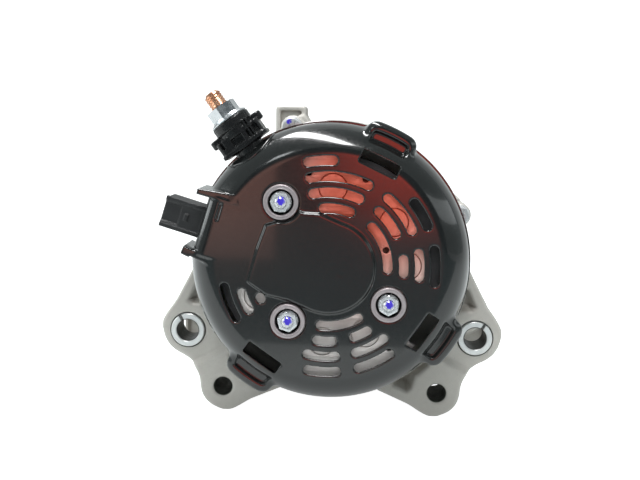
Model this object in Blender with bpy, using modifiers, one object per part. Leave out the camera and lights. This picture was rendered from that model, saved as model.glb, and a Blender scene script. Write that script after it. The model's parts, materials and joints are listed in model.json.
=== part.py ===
"""A car alternator with internal fans, a hairpin stator and a one-way clutch pulley.

The shaft runs along Y.  y = 0 is the flat plateau of the rear cover, and the
pulley is at the far end, at +Y.  X points right and Z up, seen from the rear.
All sizes below are in millimetres and all angles in degrees; the helpers turn
them into metres and radians.
"""
import math

import bmesh
import bpy
from mathutils import Matrix

MM = 0.001
GAP = 0.3
WELD = 2e-7

# Roundness of the turned and drilled shapes.
RING_STEPS = 32
CORE_STEPS = 24
SMALL_STEPS = 16
HOLE_STEPS = 10

# Rear cover.
COVER_RADIUS = 64.5
COVER_FACE_RADIUS = 50.0
COVER_FACE_Y = 1.5
COVER_SHOULDER_Y = 21.0
COVER_EDGE_Y = 36.0
COVER_WALL = 2.0
PLATEAU_RADIUS = 20.2
SLOT_HALF_WIDTH = 2.05
SLOT_ROW_PITCH = 7.0
SLOT_INNER_ROW = 26.35
LUG_ANGLES = (65.0, -33.5, -124.75)
LUG_HALF_ANGLE = 10.5
LUG_RADIUS = 67.8
VENT_RADIUS = 51.0
VENT_HALF_LENGTH = 8.9
VENT_HALF_WIDTH = 3.0

# Flat sector of the cover where the regulator's connector comes out.
CONNECTOR_ANGLE = 163.3
SECTOR_WALL_RADIUS = 60.4
SECTOR_LOW = -14.9
SECTOR_HIGH = 12.9
FLANGE_DEPTH_Y = 24.0
SHELL_END = 79.5

# Nuts that hold the cover, as (x, z).
COVER_NUTS = ((-21.3, 28.7), (-17.6, -24.5), (27.1, -15.9))
COLLAR_RADIUS = 7.8
COVER_STUD_RADIUS = 2.5
COVER_STUD_TIP_Y = -2.5

# Output terminal.
BATTERY_ANGLE = 126.7
BATTERY_Y = 19.5
BATTERY_STUD_RADIUS = 4.0

# Rectifier.
POSITIVE_SINK_Y = (7.8, 10.3)
NEGATIVE_SINK_Y = (21.6, 24.1)
SINK_START = -170.0
SINK_END = 138.0
NEGATIVE_SINK_END = 112.0
SINK_INNER = 23.5
SINK_OUTER = 54.0
SINK_NOTCH = 47.6
DIODE_RADIUS = 6.3
DIODE_CIRCLE = 35.0
DIODE_ANGLES = (88.0, 35.0, 1.0, -61.0, -94.0, -155.0)
LEAD_RADIUS = 0.8
SINK_VENTS = ((26.5, 16.4), (28.5, 62.0), (42.0, 68.0), (42.5, 103.0), (46.5, -53.0), (45.0, -104.0))
SINK_VENT_RADIUS = 1.55
BUS_RING = (43.0, 50.0)
BUS_RING_Y = (11.0, 20.8)
POSTS = ((-128.0, 36.5), (-77.0, 36.5), (-18.0, 42.0), (18.0, 42.0), (61.0, 36.5), (106.0, 36.5))

# Frames, core and rotor.
FRAME_RADIUS = 64.0
FRAME_INNER = 58.0
REAR_WALL_Y = (27.0, 30.5)
REAR_FLANGE_Y = 36.6
CORE_Y = (58.0, 92.0)
CORE_RADIUS = 61.0
CORE_BORE = 50.4
STATOR_SLOTS = 24
ROTOR_RADIUS = 49.5
POLE_PAIRS = 8
BOLT_ANGLES = (18.5, 108.5, -161.5, -71.5)
BOLT_CIRCLE = 64.0
BOLT_RADIUS = 2.5
BOLT_FACE_Y = 44.5
DRIVE_WALL_Y = (108.0, 112.0)

# Mounting ears: the pairs are mirrored in X.
UPPER_EAR = (70.0, -39.0)
UPPER_EAR_RADIUS = 12.0
LOWER_EAR = (52.2, -66.2)
LOWER_EAR_RADIUS = 11.0
UPPER_FACE_Y = 40.0
LOWER_FACE_Y = 37.0
WEB_BACK_Y = 50.0
BUSHING_RADIUS = 8.25
BUSHING_BORE = 5.25
BUSHING_Y = (39.3, 57.3)
LOWER_HOLE = 4.4
LOWER_BOSS_Y = 66.0

# Bearings: (bore, inner groove edge, outer groove edge, outside), y span.
FRONT_BEARING_RADII = (8.7, 12.9, 19.3, 23.5)
FRONT_BEARING_Y = (104.3, 118.3)
REAR_BEARING_RADII = (7.7, 10.3, 14.9, 17.5)
REAR_BEARING_Y = (30.9, 41.9)
RETAINER_SCREW_ANGLES = (45, 135, 225, 315)
RETAINER_SCREW_CIRCLE = 26.4

# Brushes and slip rings.
SLIP_RING_RADIUS = 8.0
BRUSH_Y = (11.0, 19.0)
BRUSH_INNER = 8.5
BRUSH_OUTER = 21.5
SPRING_OUTER = 30.0

# Pulley.
PULLEY_Y = (122.5, 148.5)
PULLEY_RADIUS = 28.5
PULLEY_BORE = 17.4
RIB_PITCH = 3.56
RIB_DEPTH = 3.0
RIB_COUNT = 6


def polar(radius, degrees):
    """The (x, z) point at an angle from +X."""
    angle = math.radians(degrees)
    return radius * math.cos(angle), radius * math.sin(angle)


def arc(centre, radius, start, end, steps):
    """Points along an arc, both ends included."""
    points = []
    for step in range(steps + 1):
        x, z = polar(radius, start + (end - start) * step / steps)
        points.append((centre[0] + x, centre[1] + z))
    return points


def circle(centre, radius, steps):
    """A full circle as a closed outline."""
    return arc(centre, radius, 0, 360 - 360 / steps, steps - 1)


def mirrored(points):
    """An outline reflected in X = 0."""
    return [(-x, z) for x, z in reversed(points)]


def radial_frame(degrees):
    """Local X goes outward at this angle, local Z runs tangentially."""
    return Matrix.Rotation(-math.radians(degrees), 4, 'Y')


def along_shaft(centre):
    """The pose that lays a turned shape's axis along Y at an (x, z) place."""
    place = Matrix.Translation((centre[0] * MM, 0, centre[1] * MM))
    return place @ Matrix.Rotation(math.radians(-90), 4, 'X')


def material(name, colour, roughness, metallic):
    """A plain shader with the piece's own colour."""
    shader = bpy.data.materials.new(name)
    shader.use_nodes = True
    principled = shader.node_tree.nodes['Principled BSDF']
    principled.inputs['Base Color'].default_value = (*colour, 1.0)
    principled.inputs['Roughness'].default_value = roughness
    principled.inputs['Metallic'].default_value = metallic
    return shader


def linked(name, data):
    """A new object in the alternator's collection."""
    piece = bpy.data.objects.new(name, data)
    PARTS.objects.link(piece)
    return piece


def frozen(source):
    """The object as one plain mesh in world space, modifiers applied."""
    name = source.name
    bpy.context.view_layer.update()
    depsgraph = bpy.context.evaluated_depsgraph_get()
    mesh = bpy.data.meshes.new_from_object(source.evaluated_get(depsgraph))
    mesh.transform(source.matrix_world)
    shape = bmesh.new()
    shape.from_mesh(mesh)
    bmesh.ops.remove_doubles(shape, verts=shape.verts, dist=WELD)
    bmesh.ops.recalc_face_normals(shape, faces=shape.faces)
    shape.to_mesh(mesh)
    shape.free()
    bpy.data.objects.remove(source)
    return linked(name, mesh)


def prism(name, outlines, y_near, y_far):
    """Flat outlines in the XZ plane, given thickness along Y."""
    curve = bpy.data.curves.new(name, 'CURVE')
    curve.dimensions = '2D'
    curve.fill_mode = 'BOTH'
    curve.extrude = (y_far - y_near) / 2 * MM
    for outline in outlines:
        spline = curve.splines.new('POLY')
        spline.points.add(len(outline) - 1)
        for point, (x, z) in zip(spline.points, outline):
            point.co = (x * MM, z * MM, 0, 1)
        spline.use_cyclic_u = True
    flat = linked(name, curve)
    flat.rotation_euler = (math.radians(90), 0, 0)
    flat.location = (0, (y_near + y_far) / 2 * MM, 0)
    return frozen(flat)


def turned(name, profile, steps=CORE_STEPS, pose=None):
    """A solid of revolution from (radius, height) points about a Z axis.

    The default pose lays that axis along Y, so height is the y coordinate.
    """
    loop = profile + profile[:1]
    area = sum(a[0] * b[1] - b[0] * a[1] for a, b in zip(loop, loop[1:]))
    if area > 0:
        profile = profile[::-1]
    shape = bmesh.new()
    verts = [shape.verts.new((radius * MM, 0, height * MM)) for radius, height in profile]
    for first, second in zip(verts, verts[1:]):
        shape.edges.new((first, second))
    if min(radius for radius, height in profile) > 0:
        shape.edges.new((verts[-1], verts[0]))
    mesh = bpy.data.meshes.new(name)
    shape.to_mesh(mesh)
    shape.free()
    piece = linked(name, mesh)
    screw = piece.modifiers.new('Turned', 'SCREW')
    screw.axis = 'Z'
    screw.steps = steps
    screw.render_steps = steps
    screw.use_merge_vertices = True
    screw.merge_threshold = 1e-5
    piece.matrix_world = pose or Matrix.Rotation(math.radians(-90), 4, 'X')
    return frozen(piece)


def ring(name, inner, outer, y_near, y_far, steps=CORE_STEPS):
    """A plain ring about the shaft axis."""
    return turned(name, [(inner, y_near), (outer, y_near), (outer, y_far), (inner, y_far)], steps)


def rod(name, centre, radius, y_near, y_far, steps=HOLE_STEPS):
    """A cylinder along Y at an (x, z) place."""
    return prism(name, [circle(centre, radius, steps)], y_near, y_far)


def radial_turned(name, degrees, y, profile, steps=SMALL_STEPS):
    """A turned shape whose axis points outward from the shaft at a given y."""
    place = Matrix.Translation((0, y * MM, 0)) @ radial_frame(degrees)
    return turned(name, profile, steps, place @ Matrix.Rotation(math.radians(90), 4, 'Y'))


def radial_box(name, degrees, radial, across, depth):
    """A box by its spans outward, tangentially and along Y."""
    shape = bmesh.new()
    bmesh.ops.create_cube(shape, size=1)
    size = Matrix.Diagonal((
        (radial[1] - radial[0]) * MM,
        (depth[1] - depth[0]) * MM,
        (across[1] - across[0]) * MM,
        1,
    ))
    centre = Matrix.Translation((
        (radial[0] + radial[1]) / 2 * MM,
        (depth[0] + depth[1]) / 2 * MM,
        (across[0] + across[1]) / 2 * MM,
    ))
    bmesh.ops.transform(shape, matrix=radial_frame(degrees) @ centre @ size, verts=shape.verts)
    mesh = bpy.data.meshes.new(name)
    shape.to_mesh(mesh)
    shape.free()
    return linked(name, mesh)


def combined(target, operation, others):
    """The target with a Boolean against each of the others, which are used up."""
    for other in others:
        PARTS.objects.unlink(other)
        CUTTERS.objects.link(other)
        other.hide_render = True
        other.display_type = 'WIRE'
        step = target.modifiers.new(operation.title(), 'BOOLEAN')
        step.operation = operation
        step.object = other
    result = frozen(target)
    for other in others:
        bpy.data.objects.remove(other)
    return result


def cut(target, *cutters):
    """Remove the cutters from the target."""
    return combined(target, 'DIFFERENCE', cutters)


def union(target, *others):
    """Join the others to the target as one body."""
    return combined(target, 'UNION', others)


def finish(piece, shader, origin=(0, 0, 0)):
    """Shade a piece, give it its material and put its origin in place (mm)."""
    place = Matrix.Translation([value * MM for value in origin])
    piece.data.transform(place.inverted())
    piece.matrix_world = place
    piece.data.materials.clear()
    piece.data.materials.append(shader)
    piece.data.shade_smooth()
    piece.data.set_sharp_from_angle(angle=math.radians(30))
    return piece


# ---------------------------------------------------------------- rear cover

def cover_solid(name, inset, edge_y):
    """The cover's turned form, or its hollow when inset by the wall."""
    points = [(0, COVER_FACE_Y + inset)]
    shoulder_steps = 5
    for step in range(shoulder_steps + 1):
        turn = math.radians(90 * step / shoulder_steps)
        radius = COVER_FACE_RADIUS + (COVER_RADIUS - COVER_FACE_RADIUS - inset) * math.sin(turn)
        y = COVER_SHOULDER_Y - (COVER_SHOULDER_Y - COVER_FACE_Y - inset) * math.cos(turn)
        points.append((radius, y))
    points.append((COVER_RADIUS - inset, edge_y))
    points.append((0, edge_y))
    return turned(name, points, RING_STEPS)


def lug_outline(angle, half_angle, inner, outer):
    """A clip lug seen along the shaft, with its two outer corners taken off."""
    corner = 3.0
    return [
        polar(inner, angle - half_angle),
        polar(outer - corner, angle - half_angle),
        *arc((0, 0), outer, angle - half_angle + corner, angle + half_angle - corner, 2),
        polar(outer - corner, angle + half_angle),
        polar(inner, angle + half_angle),
    ]


def slot(row, start, end):
    """One vent slot with rounded ends; row 0 is the innermost."""
    radius = SLOT_INNER_ROW + SLOT_ROW_PITCH * row
    reach = math.degrees(SLOT_HALF_WIDTH / radius)
    start, end = start + reach, end - reach
    steps = max(1, round((end - start) / 18))
    return [
        *arc((0, 0), radius + SLOT_HALF_WIDTH, start, end, steps),
        *arc(polar(radius, end), SLOT_HALF_WIDTH, end + 60, end + 120, 1),
        *arc((0, 0), radius - SLOT_HALF_WIDTH, end, start, steps),
        *arc(polar(radius, start), SLOT_HALF_WIDTH, start - 120, start - 60, 1),
    ]


def vent_slots():
    """The four concentric rows of vent slots."""
    rows = (
        ((65.2, 100.0), (-4.3, 48.6), (-100.8, -54.1)),
        ((63.5, 106.0), (24.3, 52.7), (-6.3, 11.0), (-72.2, -54.2), (-101.0, -82.2), (-158.1, -149.8)),
        ((62.5, 105.3), (22.6, 53.6), (-7.5, 13.2), (-73.9, -48.4), (-105.3, -81.6), (-164.8, -147.5)),
        ((85.9, 104.3), (21.9, 40.7), (-9.1, 13.3), (-74.7, -51.1), (-102.6, -82.0), (-170.0, -147.2)),
    )
    return [slot(row, start, end) for row, spans in enumerate(rows) for start, end in spans]


def oblong_vents():
    """The three oblong holes in the shoulder, next to the lugs."""
    outlines = []
    for angle in LUG_ANGLES:
        centre = polar(VENT_RADIUS, angle)
        corners = []
        for out, along in ((-1, -1), (1, -1), (1, 1), (-1, 1)):
            dx, dz = polar(out * VENT_HALF_WIDTH, angle)
            tx, tz = polar(along * VENT_HALF_LENGTH, angle + 90)
            corners.append((centre[0] + dx + tx, centre[1] + dz + tz))
        outlines.append(corners)
    return outlines


def plateau_outline():
    """The raised middle of the cover: round on the right, a blunt nose on the left."""
    nut = COVER_NUTS[0]
    return [
        *arc((0, 0), PLATEAU_RADIUS, -111, 74, 12),
        (-4.1, 23.5),
        (-11.0, 23.8),
        *arc(nut, 9.4, -28, -102, 3),
        (-27.6, 18.0),
        (-31.4, 7.5),
        (-35.3, -7.1),
        (-27.3, -12.5),
        (-17.3, -14.7),
    ]


def rear_cover():
    """The moulded cover over the rectifier, regulator and brushes."""
    rough_y = COVER_EDGE_Y + 2
    outside = cover_solid('rear_cover', 0, rough_y)
    sector_y = COVER_FACE_Y - 0.05
    outside = cut(outside, radial_box('sector_room', CONNECTOR_ANGLE, (SECTOR_WALL_RADIUS - 1, 80),
                                      (SECTOR_LOW + 0.3, SECTOR_HIGH - 0.3), (-5, rough_y + 5)))
    added = [
        prism('plateau', [plateau_outline()], 0, COVER_FACE_Y + 1),
        radial_box('sector', CONNECTOR_ANGLE, (30, SECTOR_WALL_RADIUS), (SECTOR_LOW, SECTOR_HIGH),
                   (sector_y, rough_y + 1)),
        radial_box('upper_flange', CONNECTOR_ANGLE, (47, 65.7), (SECTOR_LOW - 2.4, SECTOR_LOW + 1),
                   (sector_y + 0.3, FLANGE_DEPTH_Y)),
        radial_box('lower_flange', CONNECTOR_ANGLE, (44, 64.3), (SECTOR_HIGH - 1, SECTOR_HIGH + 3),
                   (sector_y + 1, FLANGE_DEPTH_Y)),
    ]
    for angle in LUG_ANGLES:
        added.append(prism('lug', [lug_outline(angle, LUG_HALF_ANGLE, 56, LUG_RADIUS)], 9, rough_y + 2))
    outside = union(outside, *added)
    outside = cut(outside, rod('trim', (0, 0), 90, COVER_EDGE_Y, rough_y + 9))

    open_y = COVER_EDGE_Y + 4
    hollow = cover_solid('hollow', COVER_WALL, open_y)
    hollow_parts = [
        radial_box('sector_hollow', CONNECTOR_ANGLE, (30, SECTOR_WALL_RADIUS - COVER_WALL),
                   (SECTOR_LOW + COVER_WALL, SECTOR_HIGH - COVER_WALL),
                   (sector_y + COVER_WALL, open_y + 1)),
    ]
    for angle in LUG_ANGLES:
        outline = lug_outline(angle, LUG_HALF_ANGLE - 1.8, 56, LUG_RADIUS - COVER_WALL)
        hollow_parts.append(prism('lug_hollow', [outline], 17, open_y + 2))
    cover = cut(outside, union(hollow, *hollow_parts))

    floors = []
    grooves = []
    for angle in LUG_ANGLES:
        half = LUG_HALF_ANGLE - 2.5
        floor = arc((0, 0), 57.6, angle - half - 1.5, angle + half + 1.5, 2)
        floor += arc((0, 0), 63.4, angle + half + 1.5, angle - half - 1.5, 2)
        floors.append(prism('groove_floor', [floor], 11, 17.5))
        groove = arc((0, 0), 58.9, angle - half, angle + half, 2)
        groove += arc((0, 0), 62.2, angle + half, angle - half, 2)
        grooves.append(groove)
    cover = union(cover, *floors)

    openings = vent_slots() + oblong_vents()
    openings += [circle(nut, COLLAR_RADIUS + GAP, SMALL_STEPS) for nut in COVER_NUTS]
    return cut(
        cover,
        prism('openings', openings, -1, 8),
        prism('grooves', grooves, 0, 15),
        radial_box('connector_window', CONNECTOR_ANGLE, (54, 63), (-7.6, 7.6), (11.9, 28.1)),
        radial_turned('battery_hole', BATTERY_ANGLE, BATTERY_Y, [(0, 55), (7.4, 55), (7.4, 70), (0, 70)]),
    )


def cover_collar(name, centre):
    """The metal sleeve in the cover that a cover nut clamps on."""
    profile = [
        (2.9, 2.8), (5.7, 2.8), (5.7, -0.2), (6.1, -0.6), (7.4, -0.6),
        (COLLAR_RADIUS, -0.2), (COLLAR_RADIUS, 7.4), (2.9, 7.4),
    ]
    return turned(name, profile, SMALL_STEPS, along_shaft(centre))


def flange_nut(name, centre, across_flats, flange_radius, bore, y_front, y_flange, y_back):
    """A hexagon nut with a round flange, lying along Y."""
    rim = y_back - 0.6
    profile = [
        (1, y_flange), (across_flats / 2, y_flange), (flange_radius, rim), (flange_radius, y_back),
        (1, y_back),
    ]
    flange = turned(name, profile, SMALL_STEPS, along_shaft(centre))
    hexagon = prism('hexagon', [circle(centre, across_flats / math.sqrt(3), 6)], y_front, y_back - 0.1)
    hole = rod('hole', centre, bore, y_front - 1, y_back + 1)
    return cut(union(flange, hexagon), hole)


# ---------------------------------------------------------- rectifier and regulator

def sink_plate(name, y_span, end, inner, outer, round_holes):
    """A heat sink plate: part of a ring with round holes, notched behind the oblong vents."""
    steps = 14
    outline = arc((0, 0), outer, SINK_START, end, steps) + arc((0, 0), inner, end, SINK_START, steps)
    plate = prism(name, [outline, *round_holes], *y_span)
    notch_y = (y_span[0] - 1, y_span[1] + 1)
    half = VENT_HALF_LENGTH + 1.5
    return cut(plate, *[
        radial_box('notch', angle, (SINK_NOTCH, outer + 3), (-half, half), notch_y) for angle in LUG_ANGLES
    ])


def stud_hole(radius, near, far):
    """A cutter for the output bolt's hole, by its distances from the shaft."""
    profile = [(0, near), (radius, near), (radius, far), (0, far)]
    return radial_turned('stud_hole', BATTERY_ANGLE, BATTERY_Y, profile, HOLE_STEPS)


def positive_heat_sink():
    """The plate behind the vents that carries the positive diodes."""
    holes = [circle(polar(DIODE_CIRCLE, angle), DIODE_RADIUS + GAP, SMALL_STEPS) for angle in DIODE_ANGLES]
    holes += [circle(nut, COVER_STUD_RADIUS + 0.8, HOLE_STEPS) for nut in COVER_NUTS]
    holes += [circle(polar(radius, angle), SINK_VENT_RADIUS, HOLE_STEPS) for radius, angle in SINK_VENTS]
    plate = sink_plate('positive_heat_sink', POSITIVE_SINK_Y, SINK_END, SINK_INNER, SINK_OUTER, holes)
    near, far = POSITIVE_SINK_Y
    shelf = radial_box('shelf', BATTERY_ANGLE, (50, 57), (-7, 7), (near + 0.1, far - 0.1))
    tab = radial_box('tab', BATTERY_ANGLE, (54.6, 57.1), (-7.1, 7.1), (near + 0.5, 26))
    return cut(union(plate, shelf, tab), stud_hole(4.6, 53, 59))


def diode(name, angle, y_can, y_plate, y_lead, steps=SMALL_STEPS):
    """A press-fit diode: a can, a narrower seat and its lead."""
    profile = [
        (0, y_can), (DIODE_RADIUS, y_can), (DIODE_RADIUS, y_plate),
        (LEAD_RADIUS, y_plate + (y_lead - y_plate) * 0.3), (LEAD_RADIUS, y_lead), (0, y_lead),
    ]
    return turned(name, profile, steps, along_shaft(polar(DIODE_CIRCLE, angle)))


def negative_heat_sink():
    """The grounded plate with its own row of diodes pressed in."""
    holes = [circle(nut, COVER_STUD_RADIUS + 0.8, HOLE_STEPS) for nut in COVER_NUTS[1:]]
    outer = SINK_OUTER + 2
    plate = sink_plate('negative_heat_sink', NEGATIVE_SINK_Y, NEGATIVE_SINK_END, SINK_INNER, outer, holes)
    cans = [diode('can', angle, 25.6, 19.0, 17.4, HOLE_STEPS) for angle in DIODE_ANGLES]
    return union(plate, *cans)


def rectifier_terminal_block():
    """The moulded bus bar ring between the two heat sinks."""
    steps = 14
    end = 110
    inner, outer = BUS_RING
    outline = arc((0, 0), outer, SINK_START, end, steps) + arc((0, 0), inner, end, SINK_START, steps)
    block = prism('rectifier_terminal_block', [outline], *BUS_RING_Y)
    posts = [radial_box('post', angle, (reach, inner + 1), (-2, 2), (13, 18)) for angle, reach in POSTS]
    return union(block, *posts)


def regulator_body():
    """The voltage regulator with its connector shell sticking out of the cover."""
    body = radial_box('regulator_body', CONNECTOR_ANGLE, (32, 57.8), (-12, 10), (8, 26.6))
    shell = radial_box('shell', CONNECTOR_ANGLE, (57, SHELL_END), (-7, 7), (12.3, 26.5))
    hollow = radial_box('hollow', CONNECTOR_ANGLE, (64, SHELL_END + 3), (-5.2, 5.2), (14.1, 24.7))
    notch = radial_box('notch', CONNECTOR_ANGLE, (71.5, SHELL_END + 3), (-4.2, 4.2), (10, 15))
    stud_room = rod('stud_room', COVER_NUTS[0], COLLAR_RADIUS + 1, 6, 30)
    pins_room = radial_box('pins_room', CONNECTOR_ANGLE, (58.4, 65), (-4.4, 4.4), (19.5, 22.5))
    return cut(union(body, shell), hollow, notch, stud_room, pins_room)


def connector_terminals():
    """Three flat pins on one common foot inside the connector."""
    foot = radial_box('connector_terminals', CONNECTOR_ANGLE, (58.8, 61), (-4, 4), (19.9, 22.1))
    pins = [
        radial_box('pin', CONNECTOR_ANGLE, (60, 75), (across - 0.6, across + 0.6), (20.4, 21.6))
        for across in (-3, 0, 3)
    ]
    return union(foot, *pins)


def brush_holder():
    """The holder that guides both brushes towards the slip rings."""
    block = radial_box('brush_holder', CONNECTOR_ANGLE, (10.5, 31.5), (-5.5, 5.5), (6.4, 23.6))
    channels = [
        radial_box('channel', CONNECTOR_ANGLE, (9, SPRING_OUTER + GAP), (-2.9, 2.9), (y - 2.7, y + 2.7))
        for y in BRUSH_Y
    ]
    relief = rod('relief', (0, 0), 10.8, 5, 25, CORE_STEPS)
    return cut(block, relief, *channels)


def brush(name, y):
    """A carbon brush with its end hollowed to the ring."""
    length = (BRUSH_INNER - 1.5, BRUSH_OUTER)
    block = radial_box(name, CONNECTOR_ANGLE, length, (-2.5, 2.5), (y - 2.3, y + 2.3))
    return cut(block, rod('ring_face', (0, 0), SLIP_RING_RADIUS + 0.35, y - 4, y + 4, CORE_STEPS))


def brush_spring(name, y):
    """A round-wire compression spring behind a brush."""
    turns = 4
    per_turn = 8
    wire = 0.35
    coil_radius = 1.9
    start = BRUSH_OUTER + GAP + wire
    length = SPRING_OUTER - start - wire
    curve = bpy.data.curves.new(name, 'CURVE')
    curve.dimensions = '3D'
    curve.bevel_depth = wire * MM
    curve.bevel_resolution = 0
    curve.use_fill_caps = True
    spline = curve.splines.new('POLY')
    spline.points.add(turns * per_turn)
    for index, point in enumerate(spline.points):
        turn = 2 * math.pi * index / per_turn
        out = start + length * index / (turns * per_turn)
        point.co = (out * MM, coil_radius * math.cos(turn) * MM, coil_radius * math.sin(turn) * MM, 1)
    coil = linked(name, curve)
    coil.matrix_world = Matrix.Translation((0, y * MM, 0)) @ radial_frame(CONNECTOR_ANGLE)
    return frozen(coil)


# ------------------------------------------------------------- battery terminal

def battery_stud():
    """The output bolt: a round head inside and a threaded end outside."""
    r = BATTERY_STUD_RADIUS
    profile = [(0, 50.6), (6.4, 50.6), (6.4, 54.2), (r, 54.2), (r, 92.6), (r - 1.4, 94), (0, 94)]
    return radial_turned('battery_stud', BATTERY_ANGLE, BATTERY_Y, profile)


def battery_nut():
    """The zinc flange nut on the output bolt."""
    profile = [(1, 79.3), (9, 79.3), (9, 80.2), (6.6, 81.6), (1, 81.6)]
    nut = radial_turned('battery_nut', BATTERY_ANGLE, BATTERY_Y, profile)
    hexagon = radial_turned('hexagon', BATTERY_ANGLE, BATTERY_Y,
                            [(0, 79.9), (6.93, 79.9), (6.93, 86.5), (0, 86.5)], 6)
    return cut(union(nut, hexagon), stud_hole(4.5, 78, 88))


def battery_insulator():
    """The moulded seat of the output bolt, with a tab on either side."""
    profile = [(1, 57.4), (7, 57.4), (7, 66), (9.2, 66), (9.2, 79), (1, 79)]
    seat = radial_turned('battery_insulator', BATTERY_ANGLE, BATTERY_Y, profile)
    body = radial_box('body', BATTERY_ANGLE, (65.1, 76), (-11.8, 11.8), (BATTERY_Y - 7.5, BATTERY_Y + 7.5))
    tabs = radial_box('tabs', BATTERY_ANGLE, (71.4, 75.4), (-13.6, 13.6), (BATTERY_Y - 3, BATTERY_Y + 3))
    return cut(union(seat, body, tabs), stud_hole(4.5, 56, 80))


# ----------------------------------------------------------------------- frames

def ear_web():
    """Outline of the right-hand ears and the web that ties them to the body."""
    steps = 6
    ring_radius = FRAME_INNER + 2
    return [
        *arc((0, 0), ring_radius, -76, 8, steps),
        *arc(UPPER_EAR, UPPER_EAR_RADIUS, 27.5, -100, steps),
        (66.3, -54.6),
        *arc(LOWER_EAR, LOWER_EAR_RADIUS, 27, -113.5, steps),
    ]


def lower_pad():
    """Outline of the thicker part of the web around the lower right ear."""
    ring_radius = FRAME_INNER + 2
    return [
        *arc((0, 0), ring_radius, -76, -41, 3),
        (65.2, -57.4),
        *arc(LOWER_EAR, LOWER_EAR_RADIUS, 27, -113.5, 6),
    ]


def bolt_holes(y_near, y_far, radius):
    """Cutters for the four through bolts."""
    return [rod('bolt_hole', polar(BOLT_CIRCLE, angle), radius, y_near, y_far) for angle in BOLT_ANGLES]


def bolt_bosses(y_near, y_far):
    """The lugs on a frame's side that the through bolts run in."""
    return [rod('bolt_boss', polar(BOLT_CIRCLE, angle), 5.6, y_near, y_far) for angle in BOLT_ANGLES]


def vent_windows(y_span, centres):
    """Cutters for the air outlets in a frame's side wall."""
    wall = (FRAME_INNER - 1, FRAME_RADIUS + 1)
    return [radial_box('outlet', angle, wall, (-4, 4), y_span) for angle in centres]


def wall_windows(y_span, inner, outer, centres, half_angle):
    """Cutters for the air inlets in a frame's end wall."""
    outlines = []
    for angle in centres:
        outline = arc((0, 0), outer, angle - half_angle, angle + half_angle, 2)
        outline += arc((0, 0), inner, angle + half_angle * 0.7, angle - half_angle * 0.7, 1)
        outlines.append(outline)
    return prism('inlets', outlines, *y_span)


def rear_end_frame():
    """The cast rear housing with the four ears that face the rear."""
    near, far = REAR_WALL_Y
    boss = REAR_BEARING_RADII[3] + 4
    bore = REAR_BEARING_RADII[3] + GAP
    profile = [
        (9.2, near), (FRAME_INNER + 2.8, near), (FRAME_INNER + 2.8, REAR_FLANGE_Y),
        (FRAME_RADIUS, REAR_FLANGE_Y), (FRAME_RADIUS, CORE_Y[0] - GAP), (FRAME_INNER, CORE_Y[0] - GAP),
        (FRAME_INNER, far), (boss, far), (boss, 43), (bore, 43), (bore, far), (9.2, far),
    ]
    body = turned('rear_end_frame', profile, RING_STEPS)
    added = [
        prism('right_web', [ear_web()], UPPER_FACE_Y, WEB_BACK_Y),
        prism('left_web', [mirrored(ear_web())], UPPER_FACE_Y, WEB_BACK_Y),
        prism('right_pad', [lower_pad()], LOWER_FACE_Y, WEB_BACK_Y - 1),
        prism('left_pad', [mirrored(lower_pad())], LOWER_FACE_Y, WEB_BACK_Y - 1),
    ]
    for side in (1, -1):
        ear = (side * UPPER_EAR[0], UPPER_EAR[1])
        boss_y = (UPPER_FACE_Y + 2, BUSHING_Y[1] - 1)
        added.append(rod('ear_boss', ear, UPPER_EAR_RADIUS - 0.1, *boss_y, SMALL_STEPS))
        lower = (side * LOWER_EAR[0], LOWER_EAR[1])
        added.append(rod('long_boss', lower, LOWER_EAR_RADIUS - 1.5, WEB_BACK_Y - 1, LOWER_BOSS_Y))
    added += bolt_bosses(BOLT_FACE_Y - 1, CORE_Y[0] - GAP - 0.1)
    for nut in COVER_NUTS:
        added.append(rod('cover_stud', nut, COVER_STUD_RADIUS, COVER_STUD_TIP_Y, near + 1, 12))
    body = union(body, *added)

    upper_pocket = [(60, -15), (66, -15), (70, -23.8), (68.4, -26.2), (60, -26.2)]
    lower_pocket = [
        (46, -46), (49.3, -50.6), (45.4, -54.8), (42, -58.2), (40.2, -64), (37.6, -66), (31, -63),
        (31, -58),
    ]
    pockets = [upper_pocket, mirrored(upper_pocket), lower_pocket, mirrored(lower_pocket)]
    cutters = [prism('pockets', pockets, UPPER_FACE_Y - 4, WEB_BACK_Y - 3)]
    for side in (1, -1):
        upper = (side * UPPER_EAR[0], UPPER_EAR[1])
        lower = (side * LOWER_EAR[0], LOWER_EAR[1])
        cutters.append(rod('bushing_bore', upper, BUSHING_RADIUS + GAP, 30, 70, SMALL_STEPS))
        cutters.append(rod('ear_hole', lower, LOWER_HOLE, 30, 70))
    cutters += bolt_holes(40, 60, BOLT_RADIUS + 0.4)
    seats = [circle(polar(BOLT_CIRCLE, angle), 5.5, HOLE_STEPS) for angle in BOLT_ANGLES]
    cutters.append(prism('head_room', seats, REAR_FLANGE_Y - 2, BOLT_FACE_Y))
    cutters += vent_windows((46, 55), (36, 56, 76, 126, 144))
    cutters.append(wall_windows((near - 1, far + 1), 25, 48, (-90, 0, 60, 95, 180), 13))
    return cut(body, *cutters)


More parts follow.
